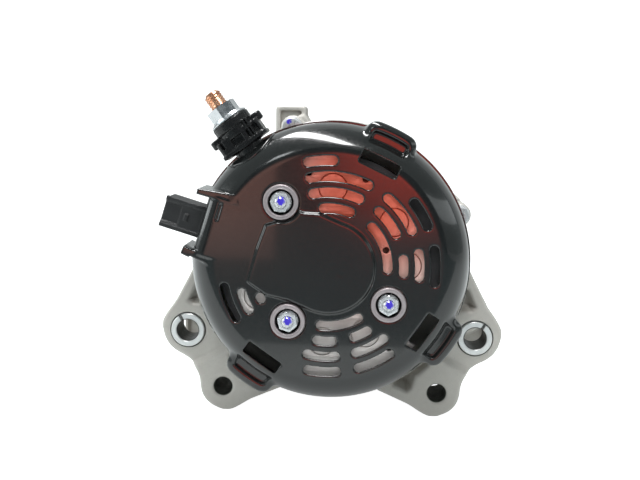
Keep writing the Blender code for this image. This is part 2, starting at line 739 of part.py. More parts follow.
def drive_end_frame():
    """The cast front housing with the bearing seat, front ears and top lug."""
    near, far = DRIVE_WALL_Y
    start = CORE_Y[1] + GAP
    bore = FRONT_BEARING_RADII[3] + GAP
    profile = [
        (FRAME_INNER, start), (FRAME_RADIUS, start), (FRAME_RADIUS, far - 3), (FRAME_RADIUS - 4, far),
        (32, far), (29, 121), (16, 121), (16, 118.6), (bore, 118.6), (bore, 104), (29, 104), (29, near),
        (FRAME_INNER, near),
    ]
    body = turned('drive_end_frame', profile, RING_STEPS)
    gusset = [
        *arc((0, 0), FRAME_INNER + 2, -70, -20, 3),
        *arc(UPPER_EAR, UPPER_EAR_RADIUS, 27.5, 0, 2),
        (82, -56),
        *arc(LOWER_EAR, LOWER_EAR_RADIUS, -10, -113.5, 4),
    ]
    front_webs = [gusset, mirrored(gusset)]
    added = [prism('front_web', [outline], 98, 110) for outline in front_webs]
    lug = [(-33.4, 50.5), (-17.3, 57), (-17.3, 69.4), (-19, 71), (-31.7, 71.6), (-33.4, 70)]
    added.append(prism('top_lug', [lug], 93, 109))
    body = union(body, *added, *bolt_bosses(start + 0.1, near))
    recess = [(-30.8, 64.5), (-19.9, 64.5), (-19.9, 68.4), (-30.8, 69)]
    cutters = [prism('lug_recess', [recess], 90, 106)]
    for side in (1, -1):
        for ear, radius in ((UPPER_EAR, 5.3), (LOWER_EAR, LOWER_HOLE)):
            cutters.append(rod('ear_hole', (side * ear[0], ear[1]), radius, 90, 120))
    cutters += bolt_holes(80, 106, BOLT_RADIUS + 0.4)
    for angle in RETAINER_SCREW_ANGLES:
        cutters.append(rod('screw_hole', polar(RETAINER_SCREW_CIRCLE, angle), 1.9, 100, 112, 8))
    cutters += vent_windows((97, 106), (-90, 36, 56, 76, 126, 144))
    cutters.append(wall_windows((near - 1, 126), 33, 53, (-120, -60, 0, 60, 120, 180), 17))
    return cut(body, *cutters)


def mount_bushing(name, side):
    """The split steel bushing in an upper ear; the split points up and outward."""
    x, z = side * UPPER_EAR[0], UPPER_EAR[1]
    split = 58 if side > 0 else 118
    half = 4.5
    outline = arc((x, z), BUSHING_RADIUS, split + half, split + 360 - half, 26)
    outline += arc((x, z), BUSHING_BORE, split + 360 - half * 1.6, split + half * 1.6, 22)
    return prism(name, [outline], *BUSHING_Y)


def through_bolt(name, angle):
    """A flanged hexagon bolt that clamps both frames on the core."""
    centre = polar(BOLT_CIRCLE, angle)
    face = BOLT_FACE_Y - GAP
    shank = BOLT_RADIUS
    profile = [
        (0, face - 2), (4, face - 2), (5, face - 0.8), (5, face), (shank, face), (shank, 105),
        (0, 105),
    ]
    bolt = turned(name, profile, HOLE_STEPS, along_shaft(centre))
    head = prism('head', [circle(centre, 4.62, 6)], face - 5.5, face - 0.5)
    return union(bolt, head)


# ----------------------------------------------------------------------- stator

def stator_core():
    """The lamination stack with open slots on its bore."""
    slot_angle = 360 / STATOR_SLOTS
    bore = []
    for index in range(STATOR_SLOTS):
        middle = index * slot_angle
        half = 2.1
        bore += arc((0, 0), CORE_BORE, middle - slot_angle / 2, middle - half, 1)
        bore.append(polar(56.9, middle - half * 0.9))
        bore.append(polar(56.9, middle + half * 0.9))
        bore.append(polar(CORE_BORE, middle + half))
    return prism('stator_core', [circle((0, 0), CORE_RADIUS, RING_STEPS), bore], *CORE_Y)


def stator_winding():
    """The copper winding: two end rings tied by the bars in the slots."""
    y_near, y_far = 42, 106
    rear = ring('stator_winding', 51, 56.4, y_near, CORE_Y[0] - 0.6)
    front = ring('front', 51, 56.4, CORE_Y[1] + 0.6, y_far)
    bar_y = (CORE_Y[0] - 2, CORE_Y[1] + 2)
    bars = [
        radial_box('bar', index * 360 / STATOR_SLOTS, (51.6, 56.2), (-1.3, 1.3), bar_y)
        for index in range(STATOR_SLOTS)
    ]
    return union(rear, front, *bars)


# ------------------------------------------------------------------------ rotor

def rotor_shaft():
    """The stepped rotor shaft from the slip rings to the pulley."""
    profile = [
        (0, 5), (4, 5), (4, 25.5), (7.4, 25.5), (7.4, 44.5), (9, 44.5), (9, 103.8), (8.4, 103.8),
        (8.4, 144), (0, 144),
    ]
    return turned('rotor_shaft', profile, SMALL_STEPS)


def claw_cutters(base_y, tip_y, phase):
    """Tapered blocks that leave the claws of one pole core."""
    claws = []
    for index in range(POLE_PAIRS):
        angle = phase + index * 360 / POLE_PAIRS
        shape = bmesh.new()
        bmesh.ops.create_cube(shape, size=1)
        for vert in shape.verts:
            at_tip = vert.co.y > 0
            half = 3.6 if at_tip else 9.6
            vert.co.x = (30 if vert.co.x < 0 else 56) * MM
            vert.co.z = math.copysign(half, vert.co.z) * MM
            vert.co.y = (tip_y if at_tip else base_y) * MM
        bmesh.ops.transform(shape, matrix=radial_frame(angle), verts=shape.verts)
        bmesh.ops.recalc_face_normals(shape, faces=shape.faces)
        mesh = bpy.data.meshes.new('claw')
        shape.to_mesh(mesh)
        shape.free()
        claws.append(linked('claw', mesh))
    return claws


def pole_core(name, back_y, inward, phase):
    """One claw pole core; inward is +1 or -1 along Y, from its back."""
    def at(distance):
        return back_y + inward * distance

    claws = turned(name + '_claws', [
        (41.6, at(0.2)), (ROTOR_RADIUS - 1, at(0.2)), (ROTOR_RADIUS, at(1.2)), (ROTOR_RADIUS, at(34)),
        (46.6, at(34)), (41.6, at(9)),
    ], SMALL_STEPS)
    blocks = claw_cutters(at(-1), at(35), phase)
    blocks = union(blocks[0], *blocks[1:])
    claws = combined(claws, 'INTERSECT', [blocks])
    hub = turned(name, [
        (9.3, at(0)), (42.4, at(0)), (42.4, at(8.8)), (24, at(8.8)), (24, at(18.35)), (9.3, at(18.35)),
    ], SMALL_STEPS)
    return union(hub, claws)


def fan(name, base_y, inward, blades, phase):
    """A sheet fan on the end of the rotor; inward is the way the blades stand."""
    plate = ring(name, 12, 46, *sorted((base_y, base_y + inward * 1.2)), SMALL_STEPS)
    blade_y = sorted((base_y + inward * 0.6, base_y + inward * 9))
    lean = Matrix.Translation((38.5 * MM, 0, 0)) @ Matrix.Rotation(math.radians(24), 4, 'Y')
    pieces = []
    for index in range(blades):
        spot = radial_box('blade', 0, (-7, 7), (-0.7, 0.7), blade_y)
        spot.data.transform(radial_frame(phase + index * 360 / blades) @ lean)
        pieces.append(spot)
    return union(plate, *pieces)


# --------------------------------------------------------------------- bearings

def race(name, radii, y_span, outer):
    """A bearing race with its ball groove."""
    bore, inner_edge, outer_edge, outside = radii
    y_near, y_far = y_span
    middle = (y_near + y_far) / 2
    depth = 1.1
    half = 3
    if outer:
        wall, groove, back = outer_edge, outer_edge + depth, outside
    else:
        wall, groove, back = inner_edge, inner_edge - depth, bore
    profile = [
        (back, y_near), (wall, y_near), (wall, middle - half), (groove, middle - half / 2),
        (groove, middle + half / 2), (wall, middle + half), (wall, y_far), (back, y_far),
    ]
    return turned(name, profile, SMALL_STEPS)


def ball_cage(name, radii, y_span, balls):
    """The balls of a bearing tied by their cage."""
    pitch = (radii[1] + radii[2]) / 2
    middle = (y_span[0] + y_span[1]) / 2
    ball_radius = (radii[2] - radii[1]) / 2 + 0.45
    half = ball_radius + 0.6
    band = ring(name, pitch - 1, pitch + 1, middle - half, middle + half, SMALL_STEPS)
    pieces = []
    for index in range(balls):
        x, z = polar(pitch, index * 360 / balls)
        shape = bmesh.new()
        bmesh.ops.create_uvsphere(shape, u_segments=8, v_segments=4, radius=ball_radius * MM)
        mesh = bpy.data.meshes.new('ball')
        bmesh.ops.translate(shape, vec=(x * MM, middle * MM, z * MM), verts=shape.verts)
        shape.to_mesh(mesh)
        shape.free()
        pieces.append(linked('ball', mesh))
    return union(band, *pieces)


def bearing_retainer_plate():
    """The plate that keeps the front bearing in its seat."""
    outline = circle((0, 0), 29.5, SMALL_STEPS)
    holes = [circle((0, 0), 18.5, SMALL_STEPS)]
    holes += [circle(polar(RETAINER_SCREW_CIRCLE, angle), 2.2, 8) for angle in RETAINER_SCREW_ANGLES]
    return prism('bearing_retainer_plate', [outline, *holes], 101.2, 103.7)


def retainer_screw(name, angle):
    """A button head screw through the retainer plate."""
    profile = [(0, 98.9), (1.6, 98.9), (3.1, 99.9), (3.1, 100.9), (1.6, 100.9), (1.6, 110), (0, 110)]
    return turned(name, profile, 8, along_shaft(polar(RETAINER_SCREW_CIRCLE, angle)))


# ----------------------------------------------------------------------- pulley

def pulley_ring():
    """The grooved outer ring for a six-rib belt."""
    y_near, y_far = PULLEY_Y
    first = (y_near + y_far) / 2 - RIB_PITCH * RIB_COUNT / 2
    profile = [(PULLEY_BORE, y_near), (PULLEY_RADIUS, y_near), (PULLEY_RADIUS, first - 0.6)]
    for index in range(RIB_COUNT):
        start = first + index * RIB_PITCH
        profile.append((PULLEY_RADIUS - 0.3, start))
        profile.append((PULLEY_RADIUS - RIB_DEPTH, start + RIB_PITCH / 2))
    profile += [
        (PULLEY_RADIUS - 0.3, first + RIB_PITCH * RIB_COUNT), (PULLEY_RADIUS, y_far), (20.4, y_far),
        (20.4, 145), (PULLEY_BORE, 145),
    ]
    return turned('pulley_ring', profile, CORE_STEPS)


def clutch_rollers():
    """The one-way clutch's rollers, tied by their cage."""
    cage = ring('clutch_rollers', 14.4, 16, 128, 142, CORE_STEPS)
    rollers = [rod('roller', polar(15.2, index * 45), 1.7, 127, 143, 8) for index in range(8)]
    return union(cage, *rollers)


def pulley_cap():
    """The plastic dust cap in the pulley's outer end."""
    return turned('pulley_cap', [
        (0, 147.6), (18, 147.6), (18, 145.6), (20, 145.6), (20, 148.6), (17, 149.6), (0, 149.6),
    ])


# --------------------------------------------------------------------- assembly

def build():
    """Make every piece of the alternator."""
    black_moulding = material('black_moulding', (0.012, 0.014, 0.014), 0.18, 0.0)
    black_plastic = material('black_plastic', (0.02, 0.02, 0.021), 0.5, 0.0)
    grey_plastic = material('grey_plastic', (0.10, 0.10, 0.11), 0.55, 0.0)
    cast_aluminium = material('cast_aluminium', (0.46, 0.44, 0.41), 0.55, 0.85)
    sheet_aluminium = material('sheet_aluminium', (0.66, 0.55, 0.50), 0.4, 0.8)
    zinc_steel = material('zinc_steel', (0.62, 0.64, 0.66), 0.3, 1.0)
    collar_steel = material('collar_steel', (0.45, 0.40, 0.40), 0.4, 1.0)
    bearing_steel = material('bearing_steel', (0.60, 0.60, 0.61), 0.2, 1.0)
    dark_steel = material('dark_steel', (0.16, 0.155, 0.15), 0.5, 0.9)
    lamination = material('lamination', (0.25, 0.24, 0.23), 0.5, 0.9)
    copper = material('copper', (0.75, 0.36, 0.20), 0.3, 1.0)
    varnished_copper = material('varnished_copper', (0.45, 0.16, 0.05), 0.35, 0.6)
    carbon = material('carbon', (0.03, 0.03, 0.03), 0.6, 0.1)
    bushing_steel = material('bushing_steel', (0.68, 0.69, 0.68), 0.35, 0.9)

    finish(rear_cover(), black_moulding)
    for index, centre in enumerate(COVER_NUTS, 1):
        finish(cover_collar(f'cover_collar_{index}', centre), collar_steel)
        nut = flange_nut(f'cover_nut_{index}', centre, 8.0, 5.3, COVER_STUD_RADIUS + GAP, -1.5, 1.3, 2.5)
        finish(nut, zinc_steel)

    finish(positive_heat_sink(), sheet_aluminium)
    for index, angle in enumerate(DIODE_ANGLES, 1):
        can = diode(f'positive_diode_{index}', angle, POSITIVE_SINK_Y[0] + 0.1, 14.6, 16.6)
        finish(can, sheet_aluminium)
    finish(negative_heat_sink(), sheet_aluminium)
    finish(rectifier_terminal_block(), grey_plastic)
    finish(regulator_body(), black_plastic)
    finish(connector_terminals(), copper)
    finish(brush_holder(), grey_plastic)
    for index, y in enumerate(BRUSH_Y, 1):
        x, z = polar(BRUSH_INNER, CONNECTOR_ANGLE)
        finish(brush(f'brush_{index}', y), carbon, (x, y, z))
        finish(brush_spring(f'brush_spring_{index}', y), bearing_steel)

    finish(battery_stud(), copper)
    finish(battery_nut(), zinc_steel)
    finish(battery_insulator(), black_plastic)

    finish(rear_end_frame(), cast_aluminium)
    finish(drive_end_frame(), cast_aluminium)
    for name, side in (('mount_bushing_left', -1), ('mount_bushing_right', 1)):
        origin = (side * UPPER_EAR[0], BUSHING_Y[0], UPPER_EAR[1])
        finish(mount_bushing(name, side), bushing_steel, origin)
    for index, angle in enumerate(BOLT_ANGLES, 1):
        finish(through_bolt(f'through_bolt_{index}', angle), zinc_steel)
    finish(stator_core(), lamination)
    finish(stator_winding(), varnished_copper)

    finish(rotor_shaft(), bearing_steel)
    finish(pole_core('rear_pole_core', 56.5, 1, 0), dark_steel)
    finish(pole_core('front_pole_core', 93.5, -1, 22.5), dark_steel)
    finish(ring('field_coil', 24.8, 40.0, 65.8, 84.2, SMALL_STEPS), varnished_copper)
    finish(fan('rear_fan', 56.2, -1, 11, 0), dark_steel)
    finish(fan('front_fan', 93.8, 1, 13, 10), dark_steel)
    finish(turned('slip_ring_insulator', [
        (4.3, 5.4), (6.4, 5.4), (6.4, 24.6), (4.3, 24.6),
    ], SMALL_STEPS), black_plastic)
    for index, y in enumerate(BRUSH_Y, 1):
        finish(ring(f'slip_ring_{index}', 6.7, SLIP_RING_RADIUS, y - 3.2, y + 3.2, SMALL_STEPS), copper)

    finish(race('front_bearing_outer_race', FRONT_BEARING_RADII, FRONT_BEARING_Y, True), bearing_steel)
    finish(race('front_bearing_inner_race', FRONT_BEARING_RADII, FRONT_BEARING_Y, False), bearing_steel)
    finish(ball_cage('front_ball_cage', FRONT_BEARING_RADII, FRONT_BEARING_Y, 7), bearing_steel)
    finish(race('rear_bearing_outer_race', REAR_BEARING_RADII, REAR_BEARING_Y, True), bearing_steel)
    finish(race('rear_bearing_inner_race', REAR_BEARING_RADII, REAR_BEARING_Y, False), bearing_steel)
    finish(ball_cage('rear_ball_cage', REAR_BEARING_RADII, REAR_BEARING_Y, 8), bearing_steel)
    finish(bearing_retainer_plate(), zinc_steel)
    for index, angle in enumerate(RETAINER_SCREW_ANGLES, 1):
        finish(retainer_screw(f'retainer_screw_{index}', angle), zinc_steel)

    finish(ring('pulley_hub', 8.7, 13, 121.6, 144, SMALL_STEPS), bearing_steel)
    finish(pulley_ring(), dark_steel)
    finish(clutch_rollers(), bearing_steel)
    finish(pulley_cap(), black_plastic)


for old in list(bpy.data.objects):
    bpy.data.objects.remove(old)
PARTS = bpy.data.collections.new('car_alternator')
CUTTERS = bpy.data.collections.new('cutters')
bpy.context.scene.collection.children.link(PARTS)
bpy.context.scene.collection.children.link(CUTTERS)
build()
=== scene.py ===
"""The looks of a car alternator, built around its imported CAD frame.

The shaft runs along Y with the rear cover at y = 0, X points right and Z up, seen from
the rear.  Sizes are in millimetres and angles in degrees, and the helpers turn them into
Blender's metres.  Cast and moulded pieces are smooth fields (rounded, blended distances)
that are skinned with quads; turned and stamped pieces are profiles and outlines.
"""
import json
import math

import bmesh
import bpy
import numpy as np
from mathutils import Matrix, Vector

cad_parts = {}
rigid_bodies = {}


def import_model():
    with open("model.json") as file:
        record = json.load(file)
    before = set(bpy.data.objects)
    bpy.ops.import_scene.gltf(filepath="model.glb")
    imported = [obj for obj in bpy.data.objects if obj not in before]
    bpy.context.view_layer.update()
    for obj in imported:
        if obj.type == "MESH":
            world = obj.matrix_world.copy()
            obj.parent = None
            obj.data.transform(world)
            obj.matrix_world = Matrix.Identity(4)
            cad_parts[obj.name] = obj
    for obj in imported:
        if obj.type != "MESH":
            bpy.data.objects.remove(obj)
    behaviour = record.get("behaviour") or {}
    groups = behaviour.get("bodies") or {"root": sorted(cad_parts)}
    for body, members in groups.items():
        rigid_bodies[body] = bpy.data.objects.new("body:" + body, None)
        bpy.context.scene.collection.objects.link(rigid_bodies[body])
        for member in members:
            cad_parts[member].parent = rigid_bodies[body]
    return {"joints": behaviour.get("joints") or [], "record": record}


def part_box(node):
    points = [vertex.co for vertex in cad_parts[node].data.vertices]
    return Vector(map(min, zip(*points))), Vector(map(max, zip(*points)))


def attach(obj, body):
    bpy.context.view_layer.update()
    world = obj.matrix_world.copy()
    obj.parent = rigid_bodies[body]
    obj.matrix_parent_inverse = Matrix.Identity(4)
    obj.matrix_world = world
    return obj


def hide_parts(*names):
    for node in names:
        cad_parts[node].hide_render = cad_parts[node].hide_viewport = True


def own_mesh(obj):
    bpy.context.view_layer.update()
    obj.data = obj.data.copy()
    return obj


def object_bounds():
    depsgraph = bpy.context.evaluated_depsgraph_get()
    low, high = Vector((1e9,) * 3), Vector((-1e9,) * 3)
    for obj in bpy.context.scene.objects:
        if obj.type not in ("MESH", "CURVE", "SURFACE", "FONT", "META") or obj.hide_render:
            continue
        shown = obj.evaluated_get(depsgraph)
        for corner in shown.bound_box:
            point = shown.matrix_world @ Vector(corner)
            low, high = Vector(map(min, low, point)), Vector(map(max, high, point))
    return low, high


MM = 0.001
WELD = 2e-7

# Smoothness: steps round a shape, and the grid of the skinned fields.
RING_STEPS = 160
CORE_STEPS = 96
SMALL_STEPS = 48
COARSEN = 1.0
COVER_CELL = 0.5 * COARSEN
FRAME_CELL = 0.75 * COARSEN
PLASTIC_CELL = 0.35 * COARSEN

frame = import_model()
CAD_LOW, CAD_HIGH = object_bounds()


# ------------------------------------------------------------ places, from the frame

def span(node):
    """A CAD node's extent along x, y and z."""
    low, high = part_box(node)
    return [(a / MM, b / MM) for a, b in zip(low, high)]


def axis_of(node):
    """The (x, z) place of a piece that lies along Y."""
    (x_low, x_high), _, (z_low, z_high) = span(node)
    return (x_low + x_high) / 2, (z_low + z_high) / 2


def depth_of(node):
    """The piece's y span."""
    return span(node)[1]


def angle_of(node):
    """The direction of a piece's middle, seen from the rear."""
    x, z = axis_of(node)
    return math.degrees(math.atan2(z, x))


COVER_NUTS = [axis_of(f"cover_nut_{index}") for index in (1, 2, 3)]
DIODES = [axis_of(f"positive_diode_{index}") for index in range(1, 7)]
BOLTS = [axis_of(f"through_bolt_{index}") for index in (1, 2, 3, 4)]
BATTERY_ANGLE = angle_of("battery_stud")
BATTERY_Y = sum(depth_of("battery_stud")) / 2
CONNECTOR_ANGLE = angle_of("connector_terminals")
UPPER_EAR = (abs(axis_of("mount_bushing_right")[0]) + 0.1, axis_of("mount_bushing_right")[1] - 0.1)
LOWER_EAR = (52.2, -66.2)
RETAINER_SCREW_ANGLES = (45, 135, 225, 315)
RETAINER_SCREW_CIRCLE = 26.4
COVER_EDGE_Y = depth_of("rear_cover")[1]
CORE_Y = depth_of("stator_core")
PULLEY_Y = depth_of("pulley_ring")
SINK_Y = depth_of("positive_heat_sink")[0]

# Rear cover.
COVER_RADIUS = 64.5
SHOULDER_RADIUS = 63.7
COVER_FACE_RADIUS = 50.0
COVER_FACE_Y = 1.5
COVER_SHOULDER_Y = 21.0
COVER_WALL = 2.0
PLATEAU_RADIUS = 20.2
SLOT_HALF_WIDTH = 2.05
SLOT_ROW_PITCH = 7.0
SLOT_INNER_ROW = 26.35
LUG_ANGLES = (65.0, -33.5, -124.75)
LUG_RADIUS = 67.8
LUG_HALF_LENGTH = 12.0
LUG_FACE_Y = 7.9
VENT_RADIUS = 51.0
SECTOR_WALL_RADIUS = 60.4
SECTOR_LOW = -14.9
SECTOR_HIGH = 12.9
COLLAR_RADIUS = 7.8
COVER_STUD_RADIUS = 2.5
NUT_TURNS = (4, 18, 30)
GATE = (5.5, -2.7)
GATE_DEPTH = 0.05
GATE_SPHERE = 12.8

# Rectifier.
SINK_START = -170.0
SINK_END = 138.0
SINK_INNER = 23.5
SINK_OUTER = 54.0
SINK_NOTCH = 47.6
SINK_STEPS = ((-12.0, 46.0), (-172.0, -146.0))
# Centre (x, z) of the red reflection that is painted onto the heat sinks and diode cases.
SINK_RED_REFLECTION = (18.0, 36.0)
DIODE_RADIUS = 6.3

# Frames.
FRAME_RADIUS = 64.0
FRAME_INNER = 58.0
UPPER_EAR_RADIUS = 12.0
LOWER_EAR_RADIUS = 11.0
UPPER_FACE_Y = 40.0
LOWER_FACE_Y = 37.0
WEB_BACK_Y = 50.0
LOWER_BOSS_Y = 66.0
BORE_SHADE_Y = (97.2, 97.4)
BOLT_FACE_Y = 44.5

# Studio: what the part mirrors, as radiance.
PAPER_GLOW = 0.25
SKY_COLOUR = (0.84, 0.94, 0.94)
SKY_STRENGTH = 0.30
FLOOR_CLOTH_GLOW = (0.12, 0.165, 0.17)
WALL_CLOTH_GLOW = (0.035, 0.045, 0.05)


# ------------------------------------------------------------------ distances

def polar(radius, degrees):
    """The (x, z) point at an angle from +X."""
    angle = math.radians(degrees)
    return radius * math.cos(angle), radius * math.sin(angle)


def across(degrees, x, z):
    """Distances outward and tangentially (counter-clockwise) at an angle."""
    cosine, sine = math.cos(math.radians(degrees)), math.sin(math.radians(degrees))
    return x * cosine + z * sine, z * cosine - x * sine


def smooth_min(a, b, blend):
    """The union of two distances, with a fillet of about the blend's size."""
    near = np.maximum(blend - np.abs(a - b), 0) / blend
    return np.minimum(a, b) - near * near * blend / 4


def smooth_max(a, b, blend):
    """The intersection of two distances, with a rounded edge."""
    return -smooth_min(-a, -b, blend)


def nearest(distances):
    """The union of several distances."""
    return np.minimum.reduce(list(distances))


def between(value, low, high):
    """Distance to a slab."""
    return np.abs(value - (low + high) / 2) - (high - low) / 2


def block(outline, depth, rounding):
    """An outline distance and a depth distance as a solid with a rounded rim."""
    a, b = outline + rounding, depth + rounding
    outside = np.hypot(np.maximum(a, 0), np.maximum(b, 0))
    return outside + np.minimum(np.maximum(a, b), 0) - rounding


def polygon(x, z, points):
    """Signed distance to a polygon's outline."""
    closest = None
    inside = None
    for (ax, az), (bx, bz) in zip(points, points[1:] + points[:1]):
        ex, ez = bx - ax, bz - az
        wx, wz = x - ax, z - az
        along = np.clip((wx * ex + wz * ez) / (ex * ex + ez * ez), 0, 1)
        square = (wx - ex * along) ** 2 + (wz - ez * along) ** 2
        closest = square if closest is None else np.minimum(closest, square)
        crosses = ((z >= az) != (z >= bz)) & (x < ax + ex * wz / (ez or 1e-9))
        inside = crosses if inside is None else inside ^ crosses
    return np.where(inside, -1, 1) * np.sqrt(closest)


def hull(x, z, first, first_radius, second, second_radius):
    """Signed distance to two circles with their common tangents."""
    ex, ez = second[0] - first[0], second[1] - first[1]
    square = ex * ex + ez * ez
    px, pz = x - first[0], z - first[1]
    side = np.abs(px * ez - pz * ex) / square
    along = (px * ex + pz * ez) / square
    slope = first_radius - second_radius
    run = math.sqrt(square - slope * slope)
    turn = run * along - slope * side
    flat = run * side + slope * along - first_radius
    near = np.sqrt(square * (side ** 2 + along ** 2)) - first_radius
    far = np.sqrt(square * (side ** 2 + (along - 1) ** 2)) - second_radius
    return np.where(turn < 0, near, np.where(turn > run, far, flat))


def arc_slot(x, z, radius, start, end, half_width):
    """Signed distance to a slot that follows an arc, with round ends."""
    inset = math.degrees(half_width / radius)
    middle, half = math.radians((start + end) / 2), math.radians((end - start) / 2 - inset)
    turn = np.arctan2(z, x) - middle
    turn = np.clip((turn + math.pi) % (2 * math.pi) - math.pi, -half, half) + middle
    return np.hypot(x - radius * np.cos(turn), z - radius * np.sin(turn)) - half_width


# --------------------------------------------------------------- skinning fields

def cell_points(values, cells):
    """One point in each cell that the surface crosses: the mean of its edge crossings."""
    corners = [(i, j, k) for i in (0, 1) for j in (0, 1) for k in (0, 1)]
    total = np.zeros((len(cells), 3))
    count = np.zeros(len(cells))
    for first in corners:
        for axis in range(3):
            if first[axis]:
                continue
            second = tuple(1 if n == axis else value for n, value in enumerate(first))
            a = values[tuple((cells + first).T)]
            b = values[tuple((cells + second).T)]
            crossed = (a < 0) != (b < 0)
            share = np.where(crossed, a / np.where(crossed, a - b, 1), 0)
            spot = np.tile(np.array(first, float), (len(cells), 1))
            spot[:, axis] = share
            total += spot * crossed[:, None]
            count += crossed
    return cells + total / count[:, None]


def crossing_quads(inside, number):
    """A quad round every grid edge that the surface crosses."""
    quads = []
    for axis in range(3):
        first, second = (axis + 1) % 3, (axis + 2) % 3
        lower = np.moveaxis(inside, axis, 0)[:-1]
        upper = np.moveaxis(inside, axis, 0)[1:]
        edges = np.argwhere(np.moveaxis(lower != upper, 0, axis))
        last = np.array(number.shape)
        edges = edges[(edges[:, first] > 0) & (edges[:, second] > 0)]
        edges = edges[(edges[:, first] < last[first]) & (edges[:, second] < last[second])]
        ring = []
        for step_first, step_second in ((0, 0), (-1, 0), (-1, -1), (0, -1)):
            cells = edges.copy()
            cells[:, first] += step_first
            cells[:, second] += step_second
            ring.append(number[tuple(cells.T)])
        ring = np.stack(ring, axis=1)
        outward = inside[tuple(edges.T)]
        quads.append(np.where(outward[:, None], ring, ring[:, ::-1]))
    return np.concatenate(quads)


def settle(field, points, cell):
    """Move points along the field's gradient onto its zero surface."""
    step = cell * 0.02
    for _ in range(3):
        x, y, z = points.T
        value = field(x, y, z)
        slope = np.stack([
            field(x + step, y, z) - value,
            field(x, y + step, z) - value,
            field(x, y, z + step) - value,
        ], axis=1) / step
        move = slope * (value / np.maximum((slope ** 2).sum(axis=1), 0.05))[:, None]
        length = np.linalg.norm(move, axis=1)
        points = points - move * np.minimum(1, 0.45 * cell / np.maximum(length, 1e-9))[:, None]
    return points


def skinned(name, field, low, high, cell):
    """A mesh of a field's zero surface inside a box."""
    sides = [np.arange(a - cell * 1.37, b + 2 * cell, cell) for a, b in zip(low, high)]
    x, y, z = np.meshgrid(*sides, indexing="ij", sparse=True)
    values = np.broadcast_to(field(x, y, z), [len(side) for side in sides])
    inside = values < 0
    ends = (slice(None, -1), slice(1, None))
    counts = sum(inside[i, j, k].astype(np.int8) for i in ends for j in ends for k in ends)
    cells = np.argwhere((counts > 0) & (counts < 8))
    number = np.full(counts.shape, -1, np.int64)
    number[tuple(cells.T)] = np.arange(len(cells))
    points = cell_points(values, cells) * cell + np.array([side[0] for side in sides])
    points = settle(field, points, cell)
    quads = crossing_quads(inside, number)
    mesh = bpy.data.meshes.new(name)
    mesh.vertices.add(len(points))
    mesh.vertices.foreach_set("co", (points * MM).astype(np.float32).ravel())
    mesh.loops.add(quads.size)
    mesh.loops.foreach_set("vertex_index", quads.astype(np.int32).ravel())
    mesh.polygons.add(len(quads))
    mesh.polygons.foreach_set("loop_start", np.arange(0, quads.size, 4, dtype=np.int32))
    mesh.update(calc_edges=True)
    mesh.validate()
    mesh.shade_smooth()
    return linked(name, mesh)


# ----------------------------------------------------------- outlines and profiles

def linked(name, data):
    """A new object in the scene."""
    piece = bpy.data.objects.new(name, data)
    bpy.context.scene.collection.objects.link(piece)
    return piece


def from_shape(name, shape):
    """A new object from a bmesh, which is used up."""
    mesh = bpy.data.meshes.new(name)
    shape.to_mesh(mesh)
    shape.free()
    return linked(name, mesh)


def shaded(piece, angle=32):
    """Smooth the piece's shading between edges sharper than an angle."""
    piece.data.shade_smooth()
    piece.data.set_sharp_from_angle(angle=math.radians(angle))
    return piece


def wires(name, thickness, resolution, paths):
    """Round wires of this radius along paths of (x, y, z) points, as a curve object."""
    curve = bpy.data.curves.new(name, "CURVE")
    curve.dimensions = "3D"
    curve.bevel_depth = thickness * MM
    curve.bevel_resolution = resolution
    curve.use_fill_caps = True
    for path in paths:
        spline = curve.splines.new("POLY")
        spline.points.add(len(path) - 1)
        for point, place in zip(spline.points, path):
            point.co = (*[value * MM for value in place], 1)
    return linked(name, curve)


def frozen(source):
    """The object as one plain mesh in world space, modifiers applied."""
    name = source.name
    bpy.context.view_layer.update()
    depsgraph = bpy.context.evaluated_depsgraph_get()
    mesh = bpy.data.meshes.new_from_object(source.evaluated_get(depsgraph))
    mesh.transform(source.matrix_world)
    shape = bmesh.new()
    shape.from_mesh(mesh)
    bmesh.ops.remove_doubles(shape, verts=shape.verts, dist=WELD)
    bmesh.ops.recalc_face_normals(shape, faces=shape.faces)
    shape.to_mesh(mesh)
    shape.free()
    bpy.data.objects.remove(source)
    return linked(name, mesh)


def arc(centre, radius, start, end, steps):
    """Points along an arc, both ends included."""
    points = []
    for step in range(steps + 1):
        x, z = polar(radius, start + (end - start) * step / steps)
        points.append((centre[0] + x, centre[1] + z))
    return points


def circle(centre, radius, steps=SMALL_STEPS):
    """A full circle as a closed outline."""
    return arc(centre, radius, 0, 360 - 360 / steps, steps - 1)


def prism(name, outlines, y_near, y_far):
    """Flat outlines in the XZ plane, given thickness along Y."""
    curve = bpy.data.curves.new(name, "CURVE")
    curve.dimensions = "2D"
    curve.fill_mode = "BOTH"
    curve.extrude = (y_far - y_near) / 2 * MM
    for outline in outlines:
        spline = curve.splines.new("POLY")
        spline.points.add(len(outline) - 1)
        for point, (x, z) in zip(spline.points, outline):
            point.co = (x * MM, z * MM, 0, 1)
        spline.use_cyclic_u = True
    flat = linked(name, curve)
    flat.rotation_euler = (math.radians(90), 0, 0)
    flat.location = (0, (y_near + y_far) / 2 * MM, 0)
    return frozen(flat)


def along_shaft(centre=(0, 0)):
    """The pose that lays a turned shape's axis along Y at an (x, z) place."""
    place = Matrix.Translation((centre[0] * MM, 0, centre[1] * MM))
    return place @ Matrix.Rotation(math.radians(-90), 4, "X")


def radial_frame(degrees, y=0.0):
    """Local X goes outward at this angle, local Z runs tangentially."""
    return Matrix.Translation((0, y * MM, 0)) @ Matrix.Rotation(-math.radians(degrees), 4, "Y")


def outward(degrees, y):
    """The pose that points a turned shape's axis outward from the shaft."""
    return radial_frame(degrees, y) @ Matrix.Rotation(math.radians(90), 4, "Y")


